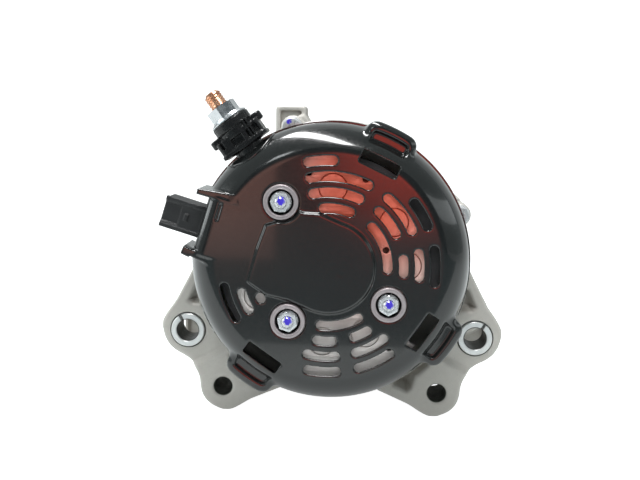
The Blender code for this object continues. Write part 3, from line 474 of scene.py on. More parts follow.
def turned(name, profile, steps=CORE_STEPS, pose=None):
    """A solid of revolution from (radius, height) points; by default height is y."""
    loop = profile + profile[:1]
    area = sum(a[0] * b[1] - b[0] * a[1] for a, b in zip(loop, loop[1:]))
    if area > 0:
        profile = profile[::-1]
    shape = bmesh.new()
    verts = [shape.verts.new((radius * MM, 0, height * MM)) for radius, height in profile]
    for first, second in zip(verts, verts[1:]):
        shape.edges.new((first, second))
    if min(radius for radius, height in profile) > 0:
        shape.edges.new((verts[-1], verts[0]))
    piece = from_shape(name, shape)
    screw = piece.modifiers.new("Turned", "SCREW")
    screw.axis = "Z"
    screw.steps = steps
    screw.render_steps = steps
    screw.use_merge_vertices = True
    screw.merge_threshold = 1e-5
    piece.matrix_world = pose or along_shaft()
    return frozen(piece)


def ring(name, inner, outer, y_near, y_far, steps=CORE_STEPS):
    """A plain ring about the shaft axis."""
    return turned(name, [(inner, y_near), (outer, y_near), (outer, y_far), (inner, y_far)], steps)


def rod(name, centre, radius, y_near, y_far, steps=SMALL_STEPS):
    """A cylinder along Y at an (x, z) place."""
    return prism(name, [circle(centre, radius, steps)], y_near, y_far)


def radial_box(name, degrees, radial, tangent, depth):
    """A box by its spans outward, tangentially and along Y."""
    shape = bmesh.new()
    bmesh.ops.create_cube(shape, size=1)
    spans = (radial, depth, tangent)
    size = Matrix.Diagonal((*[(high - low) * MM for low, high in spans], 1))
    centre = Matrix.Translation([(high + low) / 2 * MM for low, high in spans])
    bmesh.ops.transform(shape, matrix=radial_frame(degrees) @ centre @ size, verts=shape.verts)
    return from_shape(name, shape)


def combined(target, operation, others):
    """The target with a Boolean against each of the others, which are used up."""
    for other in others:
        step = target.modifiers.new(operation.title(), "BOOLEAN")
        step.operation = operation
        step.object = other
    result = frozen(target)
    for other in others:
        bpy.data.objects.remove(other)
    return result


def cut(target, *cutters):
    """Remove the cutters from the target."""
    return combined(target, "DIFFERENCE", cutters)


def union(target, *others):
    """Join the others to the target as one body."""
    return combined(target, "UNION", others)


def gathered(name, parts):
    """Several meshes as one object, left as separate shells."""
    shape = bmesh.new()
    for part in parts:
        shape.from_mesh(part.data)
        bpy.data.objects.remove(part)
    return from_shape(name, shape)


def softened(piece, width, segments=2, angle=32):
    """Round the piece's sharp edges."""
    bevel = piece.modifiers.new("Rounded", "BEVEL")
    bevel.width = width * MM
    bevel.segments = segments
    bevel.limit_method = "ANGLE"
    bevel.angle_limit = math.radians(angle)
    bevel.miter_outer = "MITER_ARC"
    piece = shaded(frozen(piece), angle)
    weighted = piece.modifiers.new("Even shading", "WEIGHTED_NORMAL")
    weighted.keep_sharp = True
    return piece


def thread(radius, depth, pitch, start, end):
    """Profile points of a thread, as a row of ridges along the height."""
    points = []
    count = max(1, round((end - start) / pitch))
    for index in range(count):
        low = start + index * pitch
        points += [
            (radius - depth, low),
            (radius, low + pitch * 0.42),
            (radius, low + pitch * 0.58),
        ]
    points.append((radius - depth, start + count * pitch))
    return points


# ------------------------------------------------------------------ materials

class Shader:
    """A Principled material and the few nodes that this scene's finishes share."""

    def __init__(self, name):
        self.material = bpy.data.materials.new(name)
        self.material.use_nodes = True
        self.tree = self.material.node_tree
        self.principled = self.tree.nodes["Principled BSDF"]
        self.place = self.tree.nodes.new("ShaderNodeTexCoord").outputs["Object"]

    def link(self, source, target):
        """Feed an input from a socket, or set it to a value."""
        if isinstance(source, bpy.types.NodeSocket):
            self.tree.links.new(source, target)
        elif isinstance(source, tuple) and len(source) == 3:
            target.default_value = (*source, 1.0)
        else:
            target.default_value = source

    def set(self, **inputs):
        """Set the Principled inputs, with underscores for spaces."""
        for name, source in inputs.items():
            self.link(source, self.principled.inputs[name.replace("_", " ")])

    def noise(self, size, detail=3.0, stretch=(1, 1, 1)):
        """Noise with features of about this size in mm."""
        mapping = self.tree.nodes.new("ShaderNodeMapping")
        mapping.inputs["Scale"].default_value = stretch
        self.link(self.place, mapping.inputs["Vector"])
        texture = self.tree.nodes.new("ShaderNodeTexNoise")
        texture.inputs["Scale"].default_value = 1 / (size * MM)
        texture.inputs["Detail"].default_value = detail
        self.link(mapping.outputs["Vector"], texture.inputs["Vector"])
        return texture.outputs["Fac"]

    def ranged(self, value, low, high, to_low, to_high):
        """A value mapped from one range to another, smoothly."""
        node = self.tree.nodes.new("ShaderNodeMapRange")
        node.interpolation_type = "SMOOTHSTEP"
        self.link(value, node.inputs["Value"])
        for index, number in enumerate((low, high, to_low, to_high), 1):
            node.inputs[index].default_value = number
        return node.outputs["Result"]

    def grain(self, size, low, high, detail=3.0):
        """Noise mapped to a range, for a roughness."""
        return self.ranged(self.noise(size, detail), 0.3, 0.7, low, high)

    def mix(self, share, first, second):
        """A colour between two colours."""
        node = self.tree.nodes.new("ShaderNodeMix")
        node.data_type = "RGBA"
        self.link(share, node.inputs["Factor"])
        self.link(first, node.inputs["A"])
        self.link(second, node.inputs["B"])
        return node.outputs["Result"]

    def math(self, operation, *values):
        """A scalar formula of sockets or numbers."""
        node = self.tree.nodes.new("ShaderNodeMath")
        node.operation = operation
        for value, target in zip(values, node.inputs):
            self.link(value, target)
        return node.outputs[0]

    def axis(self, index):
        """One coordinate of the piece, in mm."""
        node = self.tree.nodes.new("ShaderNodeSeparateXYZ")
        self.link(self.place, node.inputs[0])
        return self.math("DIVIDE", node.outputs[index], MM)

    def distance(self, side, x, z):
        """Distance in mm from a line along Y at (x, z), with x counted along a side socket."""
        across_x = self.math("SUBTRACT", side, x)
        across_z = self.math("SUBTRACT", self.axis(2), z)
        square = self.math("MULTIPLY", across_z, across_z)
        return self.math("SQRT", self.math("MULTIPLY_ADD", across_x, across_x, square))

    def pointed(self):
        """How convex the surface is: above 0.5 on outer edges."""
        return self.tree.nodes.new("ShaderNodeNewGeometry").outputs["Pointiness"]

    def bump(self, height, depth):
        """Relief of this depth in mm."""
        node = self.tree.nodes.new("ShaderNodeBump")
        node.inputs["Distance"].default_value = depth * MM
        self.link(height, node.inputs["Height"])
        self.link(node.outputs["Normal"], self.principled.inputs["Normal"])


def gloss_black():
    """Injection moulded glossy black: a wet sheen over faint orange peel."""
    shader = Shader("gloss_black")
    blotch = shader.noise(18, 2)
    shader.set(
        Base_Color=shader.mix(blotch, (0.0045, 0.0055, 0.0055), (0.0085, 0.0095, 0.0095)),
        Roughness=shader.ranged(shader.noise(1.2, 4), 0.35, 0.65, 0.16, 0.24),
        Coat_Weight=0.9,
        Coat_Roughness=0.06,
    )
    shader.bump(shader.noise(2.6, 2), 0.004)
    return shader.material


def moulded(name, dark, light, roughness):
    """Glass-filled plastic: a fine grain, and paler where edges are rubbed."""
    shader = Shader(name)
    body = shader.mix(shader.noise(6), dark, light)
    rubbed = shader.ranged(shader.pointed(), 0.53, 0.62, 0.0, 0.12)
    pale = tuple(min(1.0, value * 2.2 + 0.02) for value in light)
    shader.set(
        Base_Color=shader.mix(rubbed, body, pale),
        Roughness=shader.grain(0.8, roughness - 0.07, roughness + 0.07),
    )
    shader.bump(shader.noise(0.8, 3), 0.0015)
    return shader.material


def cast_aluminium():
    """Die cast aluminium: matte, cloudy, with a fine blasted grain and brighter edges."""
    shader = Shader("cast_aluminium")
    cloud = shader.mix(shader.noise(14, 3), (0.47, 0.45, 0.415), (0.60, 0.58, 0.54))
    speck = shader.ranged(shader.noise(0.7, 5), 0.60, 0.72, 0.0, 0.30)
    cloud = shader.mix(speck, cloud, (0.30, 0.285, 0.26))
    edge = shader.ranged(shader.pointed(), 0.51, 0.58, 0.0, 0.45)
    # Painted shade: darker and browner in concave creases and fillets.
    crease_shade = shader.ranged(shader.pointed(), 0.42, 0.495, 0.6, 0.0)
    cloud = shader.mix(crease_shade, cloud, (0.17, 0.13, 0.10))
    cloud = shader.mix(edge, cloud, (0.80, 0.79, 0.76))
    side = shader.math("ABSOLUTE", shader.axis(0))
    # Painted shade: the ear bores, and the drive frame's pad faces seen through them, are painted near black
    # up to BORE_SHADE_Y.
    for (x, z), radius in ((UPPER_EAR, 9.0), (LOWER_EAR, 4.9)):
        bore = shader.ranged(shader.distance(side, x, z), radius - 0.35, radius, 1.0, 0.0)
        bore = shader.math("MULTIPLY", bore, shader.ranged(shader.axis(1), *BORE_SHADE_Y, 1.0, 0.0))
        cloud = shader.mix(bore, cloud, (0.06, 0.065, 0.055))
    shader.set(
        Base_Color=cloud,
        Metallic=0.35,
        Roughness=shader.grain(2.2, 0.46, 0.62, 4),
    )
    shader.bump(shader.noise(0.5, 5), 0.03)
    return shader.material


def sheet_aluminium(name):
    """Rolled aluminium: satin with faint rolling lines, and a painted red reflection towards the upper right.
    """
    shader = Shader(name)
    lines = shader.noise(0.5, 3, (0.06, 1, 1.6))
    cloud = shader.noise(5, 4)
    colour = shader.mix(cloud, (0.74, 0.69, 0.66), (0.93, 0.90, 0.88))
    colour = shader.mix(shader.ranged(lines, 0.35, 0.7, 0.0, 0.25), colour, (0.60, 0.57, 0.55))
    # Painted reflection: the colour turns pale pink and then red towards the upper right, standing in for a
    # red reflection.
    near = shader.distance(shader.axis(0), *SINK_RED_REFLECTION)
    far = shader.mix(shader.ranged(near, 35, 75, 1.0, 0.0), colour, (0.93, 0.60, 0.52))
    shader.set(
        Base_Color=shader.mix(shader.ranged(near, 16, 50, 0.92, 0.0), far, (0.93, 0.13, 0.06)),
        Metallic=0.3,
        Roughness=shader.grain(1.6, 0.34, 0.5, 4),
    )
    shader.bump(lines, 0.003)
    return shader.material


def plated(name, low, high, roughness, mark=None, painted_shade=None, metallic=1.0):
    """Plated or ground steel.

    A mark is (x, z, radius, depth) in mm of a blob of violet paint that goes no further along Y
    than depth; a shade is a radius and which side of it, -1 for within and 1 for beyond, is painted black as
    shade, on a nut's flange or inside a collar or bushing.
    """
    shader = Shader(name)
    colour = shader.mix(shader.noise(5, 3), low, high)
    rough = shader.grain(2.0, roughness - 0.04, roughness + 0.05, 3)
    # Painted shade: near black on one side of a radius, for a nut's shaded flange and the insides of collars
    # and bushings.
    if painted_shade:
        radius, side = painted_shade
        distance = shader.distance(shader.axis(0), 0, 0)
        painted_shade_mask = shader.ranged(distance, radius - 0.1, radius + 0.1, (1 - side) / 2, (1 + side) / 2)
        colour = shader.mix(painted_shade_mask, colour, (0.02, 0.02, 0.02))
    if mark:
        x, z, radius, depth = mark
        distance = shader.distance(shader.axis(0), x, z)
        ragged = shader.math("MULTIPLY", shader.noise(1.1, 3), radius * 1.9)
        paint = shader.ranged(shader.math("ADD", distance, ragged), radius * 1.55, radius * 1.85, 1.0, 0.0)
        paint = shader.math("MULTIPLY", paint, shader.ranged(shader.axis(1), depth, depth + 0.2, 1.0, 0.0))
        colour = shader.mix(paint, colour, (0.055, 0.035, 0.55))
        metallic = shader.math("SUBTRACT", metallic, shader.math("MULTIPLY", paint, metallic))
    shader.set(Base_Color=colour, Metallic=metallic, Roughness=rough)
    shader.bump(shader.noise(1.6, 2), 0.0004)
    return shader.material


def copper():
    """Drawn copper with warm tarnish in patches."""
    shader = Shader("copper")
    tarnish = shader.ranged(shader.noise(3, 4), 0.4, 0.65, 0.0, 0.7)
    shader.set(
        Base_Color=shader.mix(tarnish, (0.93, 0.52, 0.34), (0.62, 0.25, 0.12)),
        Metallic=1.0,
        Roughness=shader.grain(0.8, 0.16, 0.32),
    )
    shader.bump(shader.noise(0.6, 3), 0.002)
    return shader.material


def winding_copper():
    """Enamelled wire under varnish."""
    shader = Shader("winding_copper")
    shader.set(
        Base_Color=shader.mix(shader.noise(4, 4), (0.30, 0.085, 0.025), (0.52, 0.19, 0.06)),
        Metallic=0.55,
        Roughness=shader.grain(1.5, 0.22, 0.4),
        Coat_Weight=0.6,
    )
    shader.bump(shader.noise(1.2, 3), 0.02)
    return shader.material


def lamination():
    """The edges of stacked electrical steel sheets, with thin varnish runs."""
    shader = Shader("lamination")
    sheets = shader.noise(0.6, 2, (0.04, 2.2, 0.04))
    rust = shader.ranged(shader.noise(9, 5), 0.55, 0.75, 0.0, 0.35)
    steel = shader.mix(sheets, (0.20, 0.195, 0.19), (0.42, 0.41, 0.40))
    shader.set(
        Base_Color=shader.mix(rust, steel, (0.20, 0.12, 0.08)),
        Metallic=0.85,
        Roughness=shader.ranged(sheets, 0.3, 0.7, 0.38, 0.6),
    )
    shader.bump(sheets, 0.03)
    return shader.material


def carbon():
    """Pressed graphite with copper specks."""
    shader = Shader("carbon")
    speck = shader.ranged(shader.noise(0.5, 4), 0.62, 0.7, 0.0, 0.5)
    shader.set(
        Base_Color=shader.mix(speck, (0.022, 0.022, 0.023), (0.20, 0.10, 0.06)),
        Roughness=0.55,
        Metallic=0.2,
    )
    shader.bump(shader.noise(0.3, 4), 0.02)
    return shader.material


# For plated: paint marks, and radii with the side of them that is painted black as shade.
NUT_MARK = (0.4, 0.6, 2.3, 3.0)
BOLT_MARK = (-1.4, 3.0, 1.7, 41.0)
BEYOND_NUT = (4.72, 1)
INSIDE_COLLAR = (5.72, -1)
INSIDE_BUSHING = (5.5, -1)

FINISHES = {
    "black_moulding": gloss_black(),
    "black_plastic": moulded("black_plastic", (0.005, 0.005, 0.0055), (0.010, 0.0105, 0.011), 0.27),
    "grey_plastic": moulded("grey_plastic", (0.07, 0.07, 0.075), (0.12, 0.12, 0.125), 0.5),
    "cast_aluminium": cast_aluminium(),
    "sheet_aluminium": sheet_aluminium("sheet_aluminium"),
    "diode_case": sheet_aluminium("diode_case"),
    "zinc_steel": plated("zinc_steel", (0.66, 0.68, 0.70), (0.86, 0.88, 0.90), 0.24),
    "marked_zinc": plated(
        "marked_zinc", (0.72, 0.74, 0.76), (0.90, 0.92, 0.94), 0.26, NUT_MARK, BEYOND_NUT, metallic=0.6),
    "marked_bolt": plated(
        "marked_bolt", (0.66, 0.67, 0.68), (0.86, 0.87, 0.88), 0.30, BOLT_MARK, metallic=0.6),
    "collar_steel": plated(
        "collar_steel", (0.40, 0.35, 0.36), (0.54, 0.48, 0.49), 0.40, painted_shade=INSIDE_COLLAR, metallic=0.6),
    "bearing_steel": plated("bearing_steel", (0.58, 0.58, 0.59), (0.72, 0.72, 0.73), 0.20),
    "dark_steel": plated("dark_steel", (0.10, 0.098, 0.095), (0.20, 0.195, 0.19), 0.42),
    "lamination": lamination(),
    "copper": copper(),
    "winding_copper": winding_copper(),
    "carbon": carbon(),
    "bushing_steel": plated(
        "bushing_steel", (0.74, 0.755, 0.75), (0.90, 0.91, 0.905), 0.36, painted_shade=INSIDE_BUSHING, metallic=0.7),
    "connector_plastic": moulded("connector_plastic", (0.016, 0.016, 0.017), (0.028, 0.029, 0.030), 0.5),
}


def body_of(node):
    """The CAD body that a node rides on."""
    bodies = frame["record"]["behaviour"]["bodies"]
    return next(body for body, members in bodies.items() if node in members)


def dress(piece, node, slot, finish=None, stands=True):
    """Name a piece for its CAD node, give it a finish and let it ride in the node's place."""
    piece.name = f"{node}_fine"
    piece.data.materials.clear()
    piece.data.materials.append(FINISHES[finish or slot])
    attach(piece, body_of(node))
    if stands:
        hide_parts(node)
    return piece


def centred(piece, centre):
    """Put the piece's origin at an (x, z) place, so that marks can be placed from there."""
    place = Matrix.Translation((centre[0] * MM, 0, centre[1] * MM))
    piece.data.transform(place.inverted())
    piece.matrix_world = place
    return piece


def cast(node, field, cell):
    """A field skinned over the extent of its CAD node."""
    low, high = zip(*span(node))
    return skinned(node, field, low, high, cell)


# ----------------------------------------------------------------- rear cover

VENT_SLOTS = (
    ((65.2, 100.0), (-4.3, 48.6), (-100.8, -54.1)),
    ((63.5, 106.0), (24.3, 52.7), (-6.3, 11.0), (-72.2, -54.2), (-101.0, -82.2),
     (-158.1, -149.8)),
    ((62.5, 105.3), (22.6, 53.6), (-7.5, 13.2), (-73.9, -48.4), (-105.3, -81.6),
     (-164.8, -147.5)),
    ((85.9, 104.3), (21.9, 40.7), (-9.1, 13.3), (-74.7, -51.1), (-102.6, -82.0),
     (-170.0, -147.2)),
)


def shoulder(radius, y):
    """The cover's turned form: a flat face and an elliptic shoulder."""
    wide = SHOULDER_RADIUS - COVER_FACE_RADIUS
    deep = COVER_SHOULDER_Y - COVER_FACE_Y
    out = np.maximum(radius - COVER_FACE_RADIUS, 0)
    near = np.maximum(COVER_SHOULDER_Y - y, 0)
    scaled = np.hypot(out / wide, near / deep)
    slope = np.hypot(out / wide ** 2, near / deep ** 2)
    return (scaled - 1) * (scaled + 1e-6) / (slope + 1e-6 / deep)


def plateau_outline(x, z):
    """The raised middle of the cover: round on the right, a blunt nose on the left."""
    nut = COVER_NUTS[0]
    outline = [
        *arc((0, 0), PLATEAU_RADIUS, -111, 74, 36),
        (-4.1, 23.5),
        (-11.0, 23.8),
        *arc(nut, 9.4, -28, -102, 8),
        (-27.6, 18.0),
        (-31.4, 7.5),
        (-35.3, -7.1),
        (-27.3, -12.5),
        (-17.3, -14.7),
    ]
    return polygon(x, z, outline)


def cover_body(x, y, z):
    """The cover's outer form without its fences, before it is hollowed."""
    radius = np.hypot(x, z)
    body = shoulder(radius, y)
    for angle in LUG_ANGLES:
        out, along = across(angle, x, z)
        outline = smooth_max(np.abs(along) - LUG_HALF_LENGTH, radius - LUG_RADIUS, 5.0)
        outline = np.maximum(outline, 45 - out)
        body = smooth_min(body, block(outline, between(y, LUG_FACE_Y, 70), 2.8), 2.4)
        groove = smooth_max(np.abs(along) - 8.3, np.abs(radius - 61.2) - 2.0, 1.6)
        groove = np.maximum(groove, 45 - out)
        body = smooth_max(body, -np.maximum(groove - (LUG_FACE_Y + 1 - y) * 0.3, y - LUG_FACE_Y - 1.8), 1.2)
    out, along = across(CONNECTOR_ANGLE, x, z)
    middle = (SECTOR_LOW + SECTOR_HIGH) / 2
    half = (SECTOR_HIGH - SECTOR_LOW) / 2
    room = np.maximum(59.6 - out, np.abs(along - middle) - half)
    body = smooth_max(body, -room, 0.4)
    sector = smooth_max(out - SECTOR_WALL_RADIUS, COVER_FACE_Y - y, 7.0)
    sector = smooth_max(sector, np.abs(along - middle) - half, 0.9)
    return np.minimum(body, np.maximum(sector, 25 - out))


def cover_fences(x, y, z):
    """The two thin walls on either side of the connector."""
    out, along = across(CONNECTOR_ANGLE, x, z)
    upper = polygon(out, along, [(46, -14.2), (48.2, -18.2), (65.7, -15.7), (65.5, -13.2), (58, -13.4)])
    lower = polygon(out, along, [(42.5, 12.5), (43.9, 16.6), (60.5, 14.5), (60.8, 15.2), (64.9, 14.6),
                                 (64.5, 10.9), (60.2, 11.4)])
    upper = block(upper, between(y, COVER_FACE_Y + 0.4, 24), 0.5)
    lower = block(lower, between(y, COVER_FACE_Y + 1.0, 24), 0.5)
    return np.minimum(upper, lower)


def cover_openings(x, y, z):
    """Vent slots, oblong holes and the holes for the collars, as one cutter."""
    holes = []
    for row, spans in enumerate(VENT_SLOTS):
        radius = SLOT_INNER_ROW + SLOT_ROW_PITCH * row
        holes += [arc_slot(x, z, radius, start, end, SLOT_HALF_WIDTH) for start, end in spans]
    for angle in LUG_ANGLES:
        out, along = across(angle, x, z)
        holes.append(smooth_max(np.abs(out - VENT_RADIUS) - 3.0, np.abs(along) - 8.9, 0.8))
    holes += [np.hypot(x - nut_x, z - nut_z) - COLLAR_RADIUS - 0.3 for nut_x, nut_z in COVER_NUTS]
    return np.maximum(nearest(holes), y - 9)


def rear_cover_field(x, y, z):
    """The whole moulded cover."""
    body = cover_body(x, y, z)
    plateau = plateau_outline(x, z)
    plateau = smooth_max((plateau - y * 0.5) / 1.12, -y, 0.3)
    plateau = np.maximum(plateau, y - 3)
    cover = smooth_min(smooth_min(body, plateau, 0.35), cover_fences(x, y, z), 0.8)

    # A round gate mark on the plateau.
    from_gate = np.hypot(x - GATE[0], z - GATE[1])
    cover = smooth_max(cover, GATE_SPHERE - np.hypot(from_gate, y + GATE_SPHERE - GATE_DEPTH), 0.1)

    # A shallow drip groove near the connector.
    out, along = across(CONNECTOR_ANGLE, x, z)
    drip = block(np.maximum(np.abs(out - 53.6) - 0.6, between(along, -12.4, -4.5)), between(y, -1, 1.95), 0.3)
    cover = smooth_max(cover, -drip, 0.5)

    cover = smooth_max(cover, -cover_openings(x, y, z), 0.3)
    cover = smooth_max(cover, -(body + COVER_WALL), 0.5)
    cover = smooth_max(cover, y - COVER_EDGE_Y, 0.6)
    window = np.maximum(np.abs(along) - 7.6, between(y, 11.9, 28.1))
    cover = np.maximum(cover, -np.maximum(window, between(out, 54, 66)))
    out, along = across(BATTERY_ANGLE, x, z)
    return np.maximum(cover, -np.maximum(np.hypot(along, y - BATTERY_Y) - 7.4, 52 - out))


def battery_drill(radius, near, far):
    """A cutter along the battery stud's axis."""
    profile = [(0, near), (radius, near), (radius, far), (0, far)]
    return turned("hole", profile, SMALL_STEPS, outward(BATTERY_ANGLE, BATTERY_Y))


def cover_lip():
    """The thin band round the cover's open edge."""
    near, far = COVER_SHOULDER_Y + 0.6, COVER_EDGE_Y
    inner = SHOULDER_RADIUS - 1.2
    lip = turned("lip", [
        (inner, near), (COVER_RADIUS - 0.25, near), (COVER_RADIUS, near + 0.25), (COVER_RADIUS, far - 0.2),
        (COVER_RADIUS - 0.2, far), (inner, far),
    ], RING_STEPS)
    sector = (SECTOR_LOW + 0.5, SECTOR_HIGH - 0.5)
    room = radial_box("room", CONNECTOR_ANGLE, (50, 80), sector, (near - 5, far + 5))
    hole = battery_drill(7.6, 55, 70)
    return shaded(cut(lip, room, hole))


def terminal_ridge():
    """The thin raised ridge on the cover's shoulder, round the output terminal."""
    radius, reach_angle, steps = 13.0, 84, 40
    path = []
    for step in range(steps + 1):
        turn = math.radians(reach_angle * (2 * step / steps - 1))
        along, y = radius * math.sin(turn), BATTERY_Y - radius * math.cos(turn)
        rise = (COVER_SHOULDER_Y - y) / (COVER_SHOULDER_Y - COVER_FACE_Y)
        surface = COVER_FACE_RADIUS + (SHOULDER_RADIUS - COVER_FACE_RADIUS) * math.sqrt(1 - rise * rise)
        path.append((math.sqrt(surface ** 2 - along ** 2), y - BATTERY_Y, along))
    ridge = wires("ridge", 0.6, 3, [path])
    ridge.matrix_world = radial_frame(BATTERY_ANGLE, BATTERY_Y)
    ridge = frozen(ridge)
    ridge.data.shade_smooth()
    return ridge


def make_rear_cover():
    """The cover, its collars, nuts and studs."""
    cover = cast("rear_cover", rear_cover_field, COVER_CELL)
    dress(gathered("cover", [cover, cover_lip(), terminal_ridge()]), "rear_cover", "black_moulding")
    for index, centre in enumerate(COVER_NUTS, 1):
        collar = turned("collar", [
            (2.9, 2.8), (5.5, 2.8), (5.7, 2.6), (5.7, -0.1), (6.1, -0.5), (6.3, -0.6), (7.2, -0.6),
            (7.5, -0.5), (7.7, -0.3), (COLLAR_RADIUS, 0.1), (COLLAR_RADIUS, 7.4), (2.9, 7.4),
        ], CORE_STEPS, along_shaft(centre))
        collar = centred(softened(collar, 0.08), centre)
        dress(collar, f"cover_collar_{index}", "collar_steel")
        turn = NUT_TURNS[index - 1]
        bore = COVER_STUD_RADIUS + 0.15
        nut = flange_nut("nut", along_shaft(centre), 4.0, 5.3, bore, (2.5, 1.3, -1.5), turn)
        dress(centred(nut, centre), f"cover_nut_{index}", "zinc_steel", "marked_zinc")
        tip = depth_of("rear_end_frame")[0]
        profile = [(0, tip), (COVER_STUD_RADIUS - 0.7, tip), (COVER_STUD_RADIUS - 0.35, tip + 0.35)]
        profile += thread(COVER_STUD_RADIUS, 0.32, 0.8, tip + 0.35, 7)
        profile += [(COVER_STUD_RADIUS - 0.3, 29), (0, 29)]
        stud = shaded(centred(turned("stud", profile, SMALL_STEPS, along_shaft(centre)), centre), 40)
        dress(stud, "rear_end_frame", "zinc_steel", "marked_zinc", stands=False)
        stud.name = f"cover_stud_{index}"


def flange_nut(name, pose, half_flats, flange_radius, bore, heights, turn=0.0):
    """A hexagon nut with a round flange: heights are the back, the flange top and the front."""
    back, flange_top, front = heights
    sign = 1 if front > back else -1
    corner = half_flats / math.cos(math.radians(30))
    flange = [
        (bore, back), (flange_radius - 0.15, back), (flange_radius, back + sign * 0.15),
        (flange_radius, back + sign * 0.55), (half_flats + 0.1, flange_top), (bore, flange_top),
    ]
    nut = turned(name, flange, CORE_STEPS, pose)
    chamfer = [
        (bore, back + sign * 0.3), (corner + 0.3, back + sign * 0.3), (corner + 0.3, front - sign * 0.5),
        (corner - 0.35, front), (bore + 0.3, front), (bore, front - sign * 0.3),
    ]
    faces = turned("hexagon", [(0, back + sign * 0.2), (corner, back + sign * 0.2),
                               (corner, front + sign), (0, front + sign)], 6,
                   pose @ Matrix.Rotation(math.radians(turn), 4, "Z"))
    faces = combined(turned("faces", chamfer, CORE_STEPS, pose), "INTERSECT", [faces])
    return softened(union(nut, faces), 0.12)


# -------------------------------------------------------- rectifier and regulator

def sink_plate(name, y_span, end, outer, round_holes):
    """A heat sink plate: part of a ring with round holes, notched behind the oblong vents."""
    steps = 120
    outline = arc((0, 0), outer, SINK_START, end, steps) + arc((0, 0), SINK_INNER, end, SINK_START, steps)
    plate = prism(name, [outline, *round_holes], *y_span)
    notch_y = (y_span[0] - 1, y_span[1] + 1)
    radial = (SINK_NOTCH, outer + 3)
    notches = [radial_box("notch", angle, radial, (-10.4, 10.4), notch_y) for angle in LUG_ANGLES]
    for start, end in SINK_STEPS:
        step = arc((0, 0), outer + 2, start, end, 16) + arc((0, 0), 45.0, end, start, 16)
        notches.append(prism("step", [step], *notch_y))
    return cut(plate, *notches)


def make_rectifier():
    """Both heat sinks, the positive diodes and the bus bar ring."""
    holes = [circle(centre, DIODE_RADIUS + 0.28) for centre in DIODES]
    holes += [circle(nut, COVER_STUD_RADIUS + 0.8) for nut in COVER_NUTS]
    vents = ((26.5, 16.4), (28.5, 62.0), (42.0, 68.0), (42.5, 103.0), (46.5, -53.0), (45.0, -104.0))
    holes += [circle(polar(*vent), 1.55, 32) for vent in vents]
    near, far = SINK_Y, SINK_Y + 2.5
    plate = softened(sink_plate("plate", (near, far), SINK_END, SINK_OUTER, holes), 0.15)
    tab = radial_box("tab", BATTERY_ANGLE, (54.6, 57.1), (-7.1, 7.1), (near + 0.5, 26))
    hole = battery_drill(4.6, 53, 59)
    shelf = radial_box("shelf", BATTERY_ANGLE, (52, 56), (-7, 7), (near + 0.1, far - 0.1))
    tab = softened(cut(union(tab, shelf), hole), 0.25)
    dress(gathered("sink", [plate, tab]), "positive_heat_sink", "sheet_aluminium")
    for index, centre in enumerate(DIODES, 1):
        can = turned("diode", [
            (0, near + 0.1), (DIODE_RADIUS - 0.35, near + 0.1), (DIODE_RADIUS, near + 0.45),
            (DIODE_RADIUS, 14.2), (DIODE_RADIUS - 0.4, 14.6), (0.8, 15.2), (0.8, 16.6), (0, 16.6),
        ], CORE_STEPS, along_shaft(centre))
        dress(softened(can, 0.05), f"positive_diode_{index}", "diode_case")

    sink_near, sink_far = 21.6, 24.1
    holes = [circle(nut, COVER_STUD_RADIUS + 0.8) for nut in COVER_NUTS[1:]]
    plate = softened(sink_plate("plate", (sink_near, sink_far), 112.0, SINK_OUTER + 2, holes), 0.15)
    profile = [(0, 17.4), (0.8, 17.4), (0.8, 18.6), (5.9, 19.0), (6.3, 19.4), (6.3, 25.6), (0, 25.6)]
    cans = [softened(turned("can", profile, SMALL_STEPS, along_shaft(centre)), 0.1) for centre in DIODES]
    dress(gathered("negative", [plate, *cans]), "negative_heat_sink", "sheet_aluminium")

    steps = 120
    outline = arc((0, 0), 50, SINK_START, 110, steps) + arc((0, 0), 43, 110, SINK_START, steps)
    parts = [softened(prism("ring", [outline], 11, 20.8), 0.5)]
    for angle in (-128.0, -77.0, -18.0, 18.0, 61.0, 106.0):
        inner = 42.0 if abs(angle) == 18.0 else 36.5
        parts.append(softened(radial_box("post", angle, (inner, 44), (-2, 2), (13, 18)), 0.4))
    dress(gathered("block", parts), "rectifier_terminal_block", "grey_plastic")


def regulator_field(x, y, z):
    """The regulator's case with its connector shell."""
    out, along = across(CONNECTOR_ANGLE, x, z)
    case = np.maximum(between(out, 32, 57.8), between(along, -12, 10))
    case = block(case, between(y, 8, 26.6), 0.8)
    shell = block(smooth_max(between(out, 52, 79.5), np.abs(along) - 7.0, 1.6), between(y, 12.3, 26.5), 0.9)
    rails = np.maximum(between(out, 57, 79.5), np.abs(np.abs(along) - 6.3) - 0.9)
    rails = block(rails, between(y, 11.9, 14.0), 0.35)
    neck = block(np.maximum(between(out, 52, 61.5), np.abs(along) - 7.2), between(y, 12.1, 27.2), 0.5)
    body = smooth_min(smooth_min(smooth_min(case, shell, 0.8), rails, 0.5), neck, 0.5)
    hollow = block(np.maximum(between(out, 64, 90), np.abs(along) - 5.2), between(y, 14.1, 24.7), 0.7)
    notch = block(np.maximum(between(out, 71.5, 90), np.abs(along) - 4.4), between(y, 5, 13.3), 0.4)
    latch = block(np.maximum(between(out, 67.5, 69.3), np.abs(along) - 1.6), between(y, 11.6, 13), 0.3)
    body = smooth_min(body, latch, 0.5)
    nut_x, nut_z = COVER_NUTS[0]
    room = np.hypot(x - nut_x, z - nut_z) - COLLAR_RADIUS - 1
    pins = np.maximum(np.maximum(between(out, 58.4, 66), np.abs(along) - 4.4), between(y, 19.5, 22.5))
    for cutter in (hollow, notch, room, pins):
        body = smooth_max(body, -cutter, 0.5)
    return body


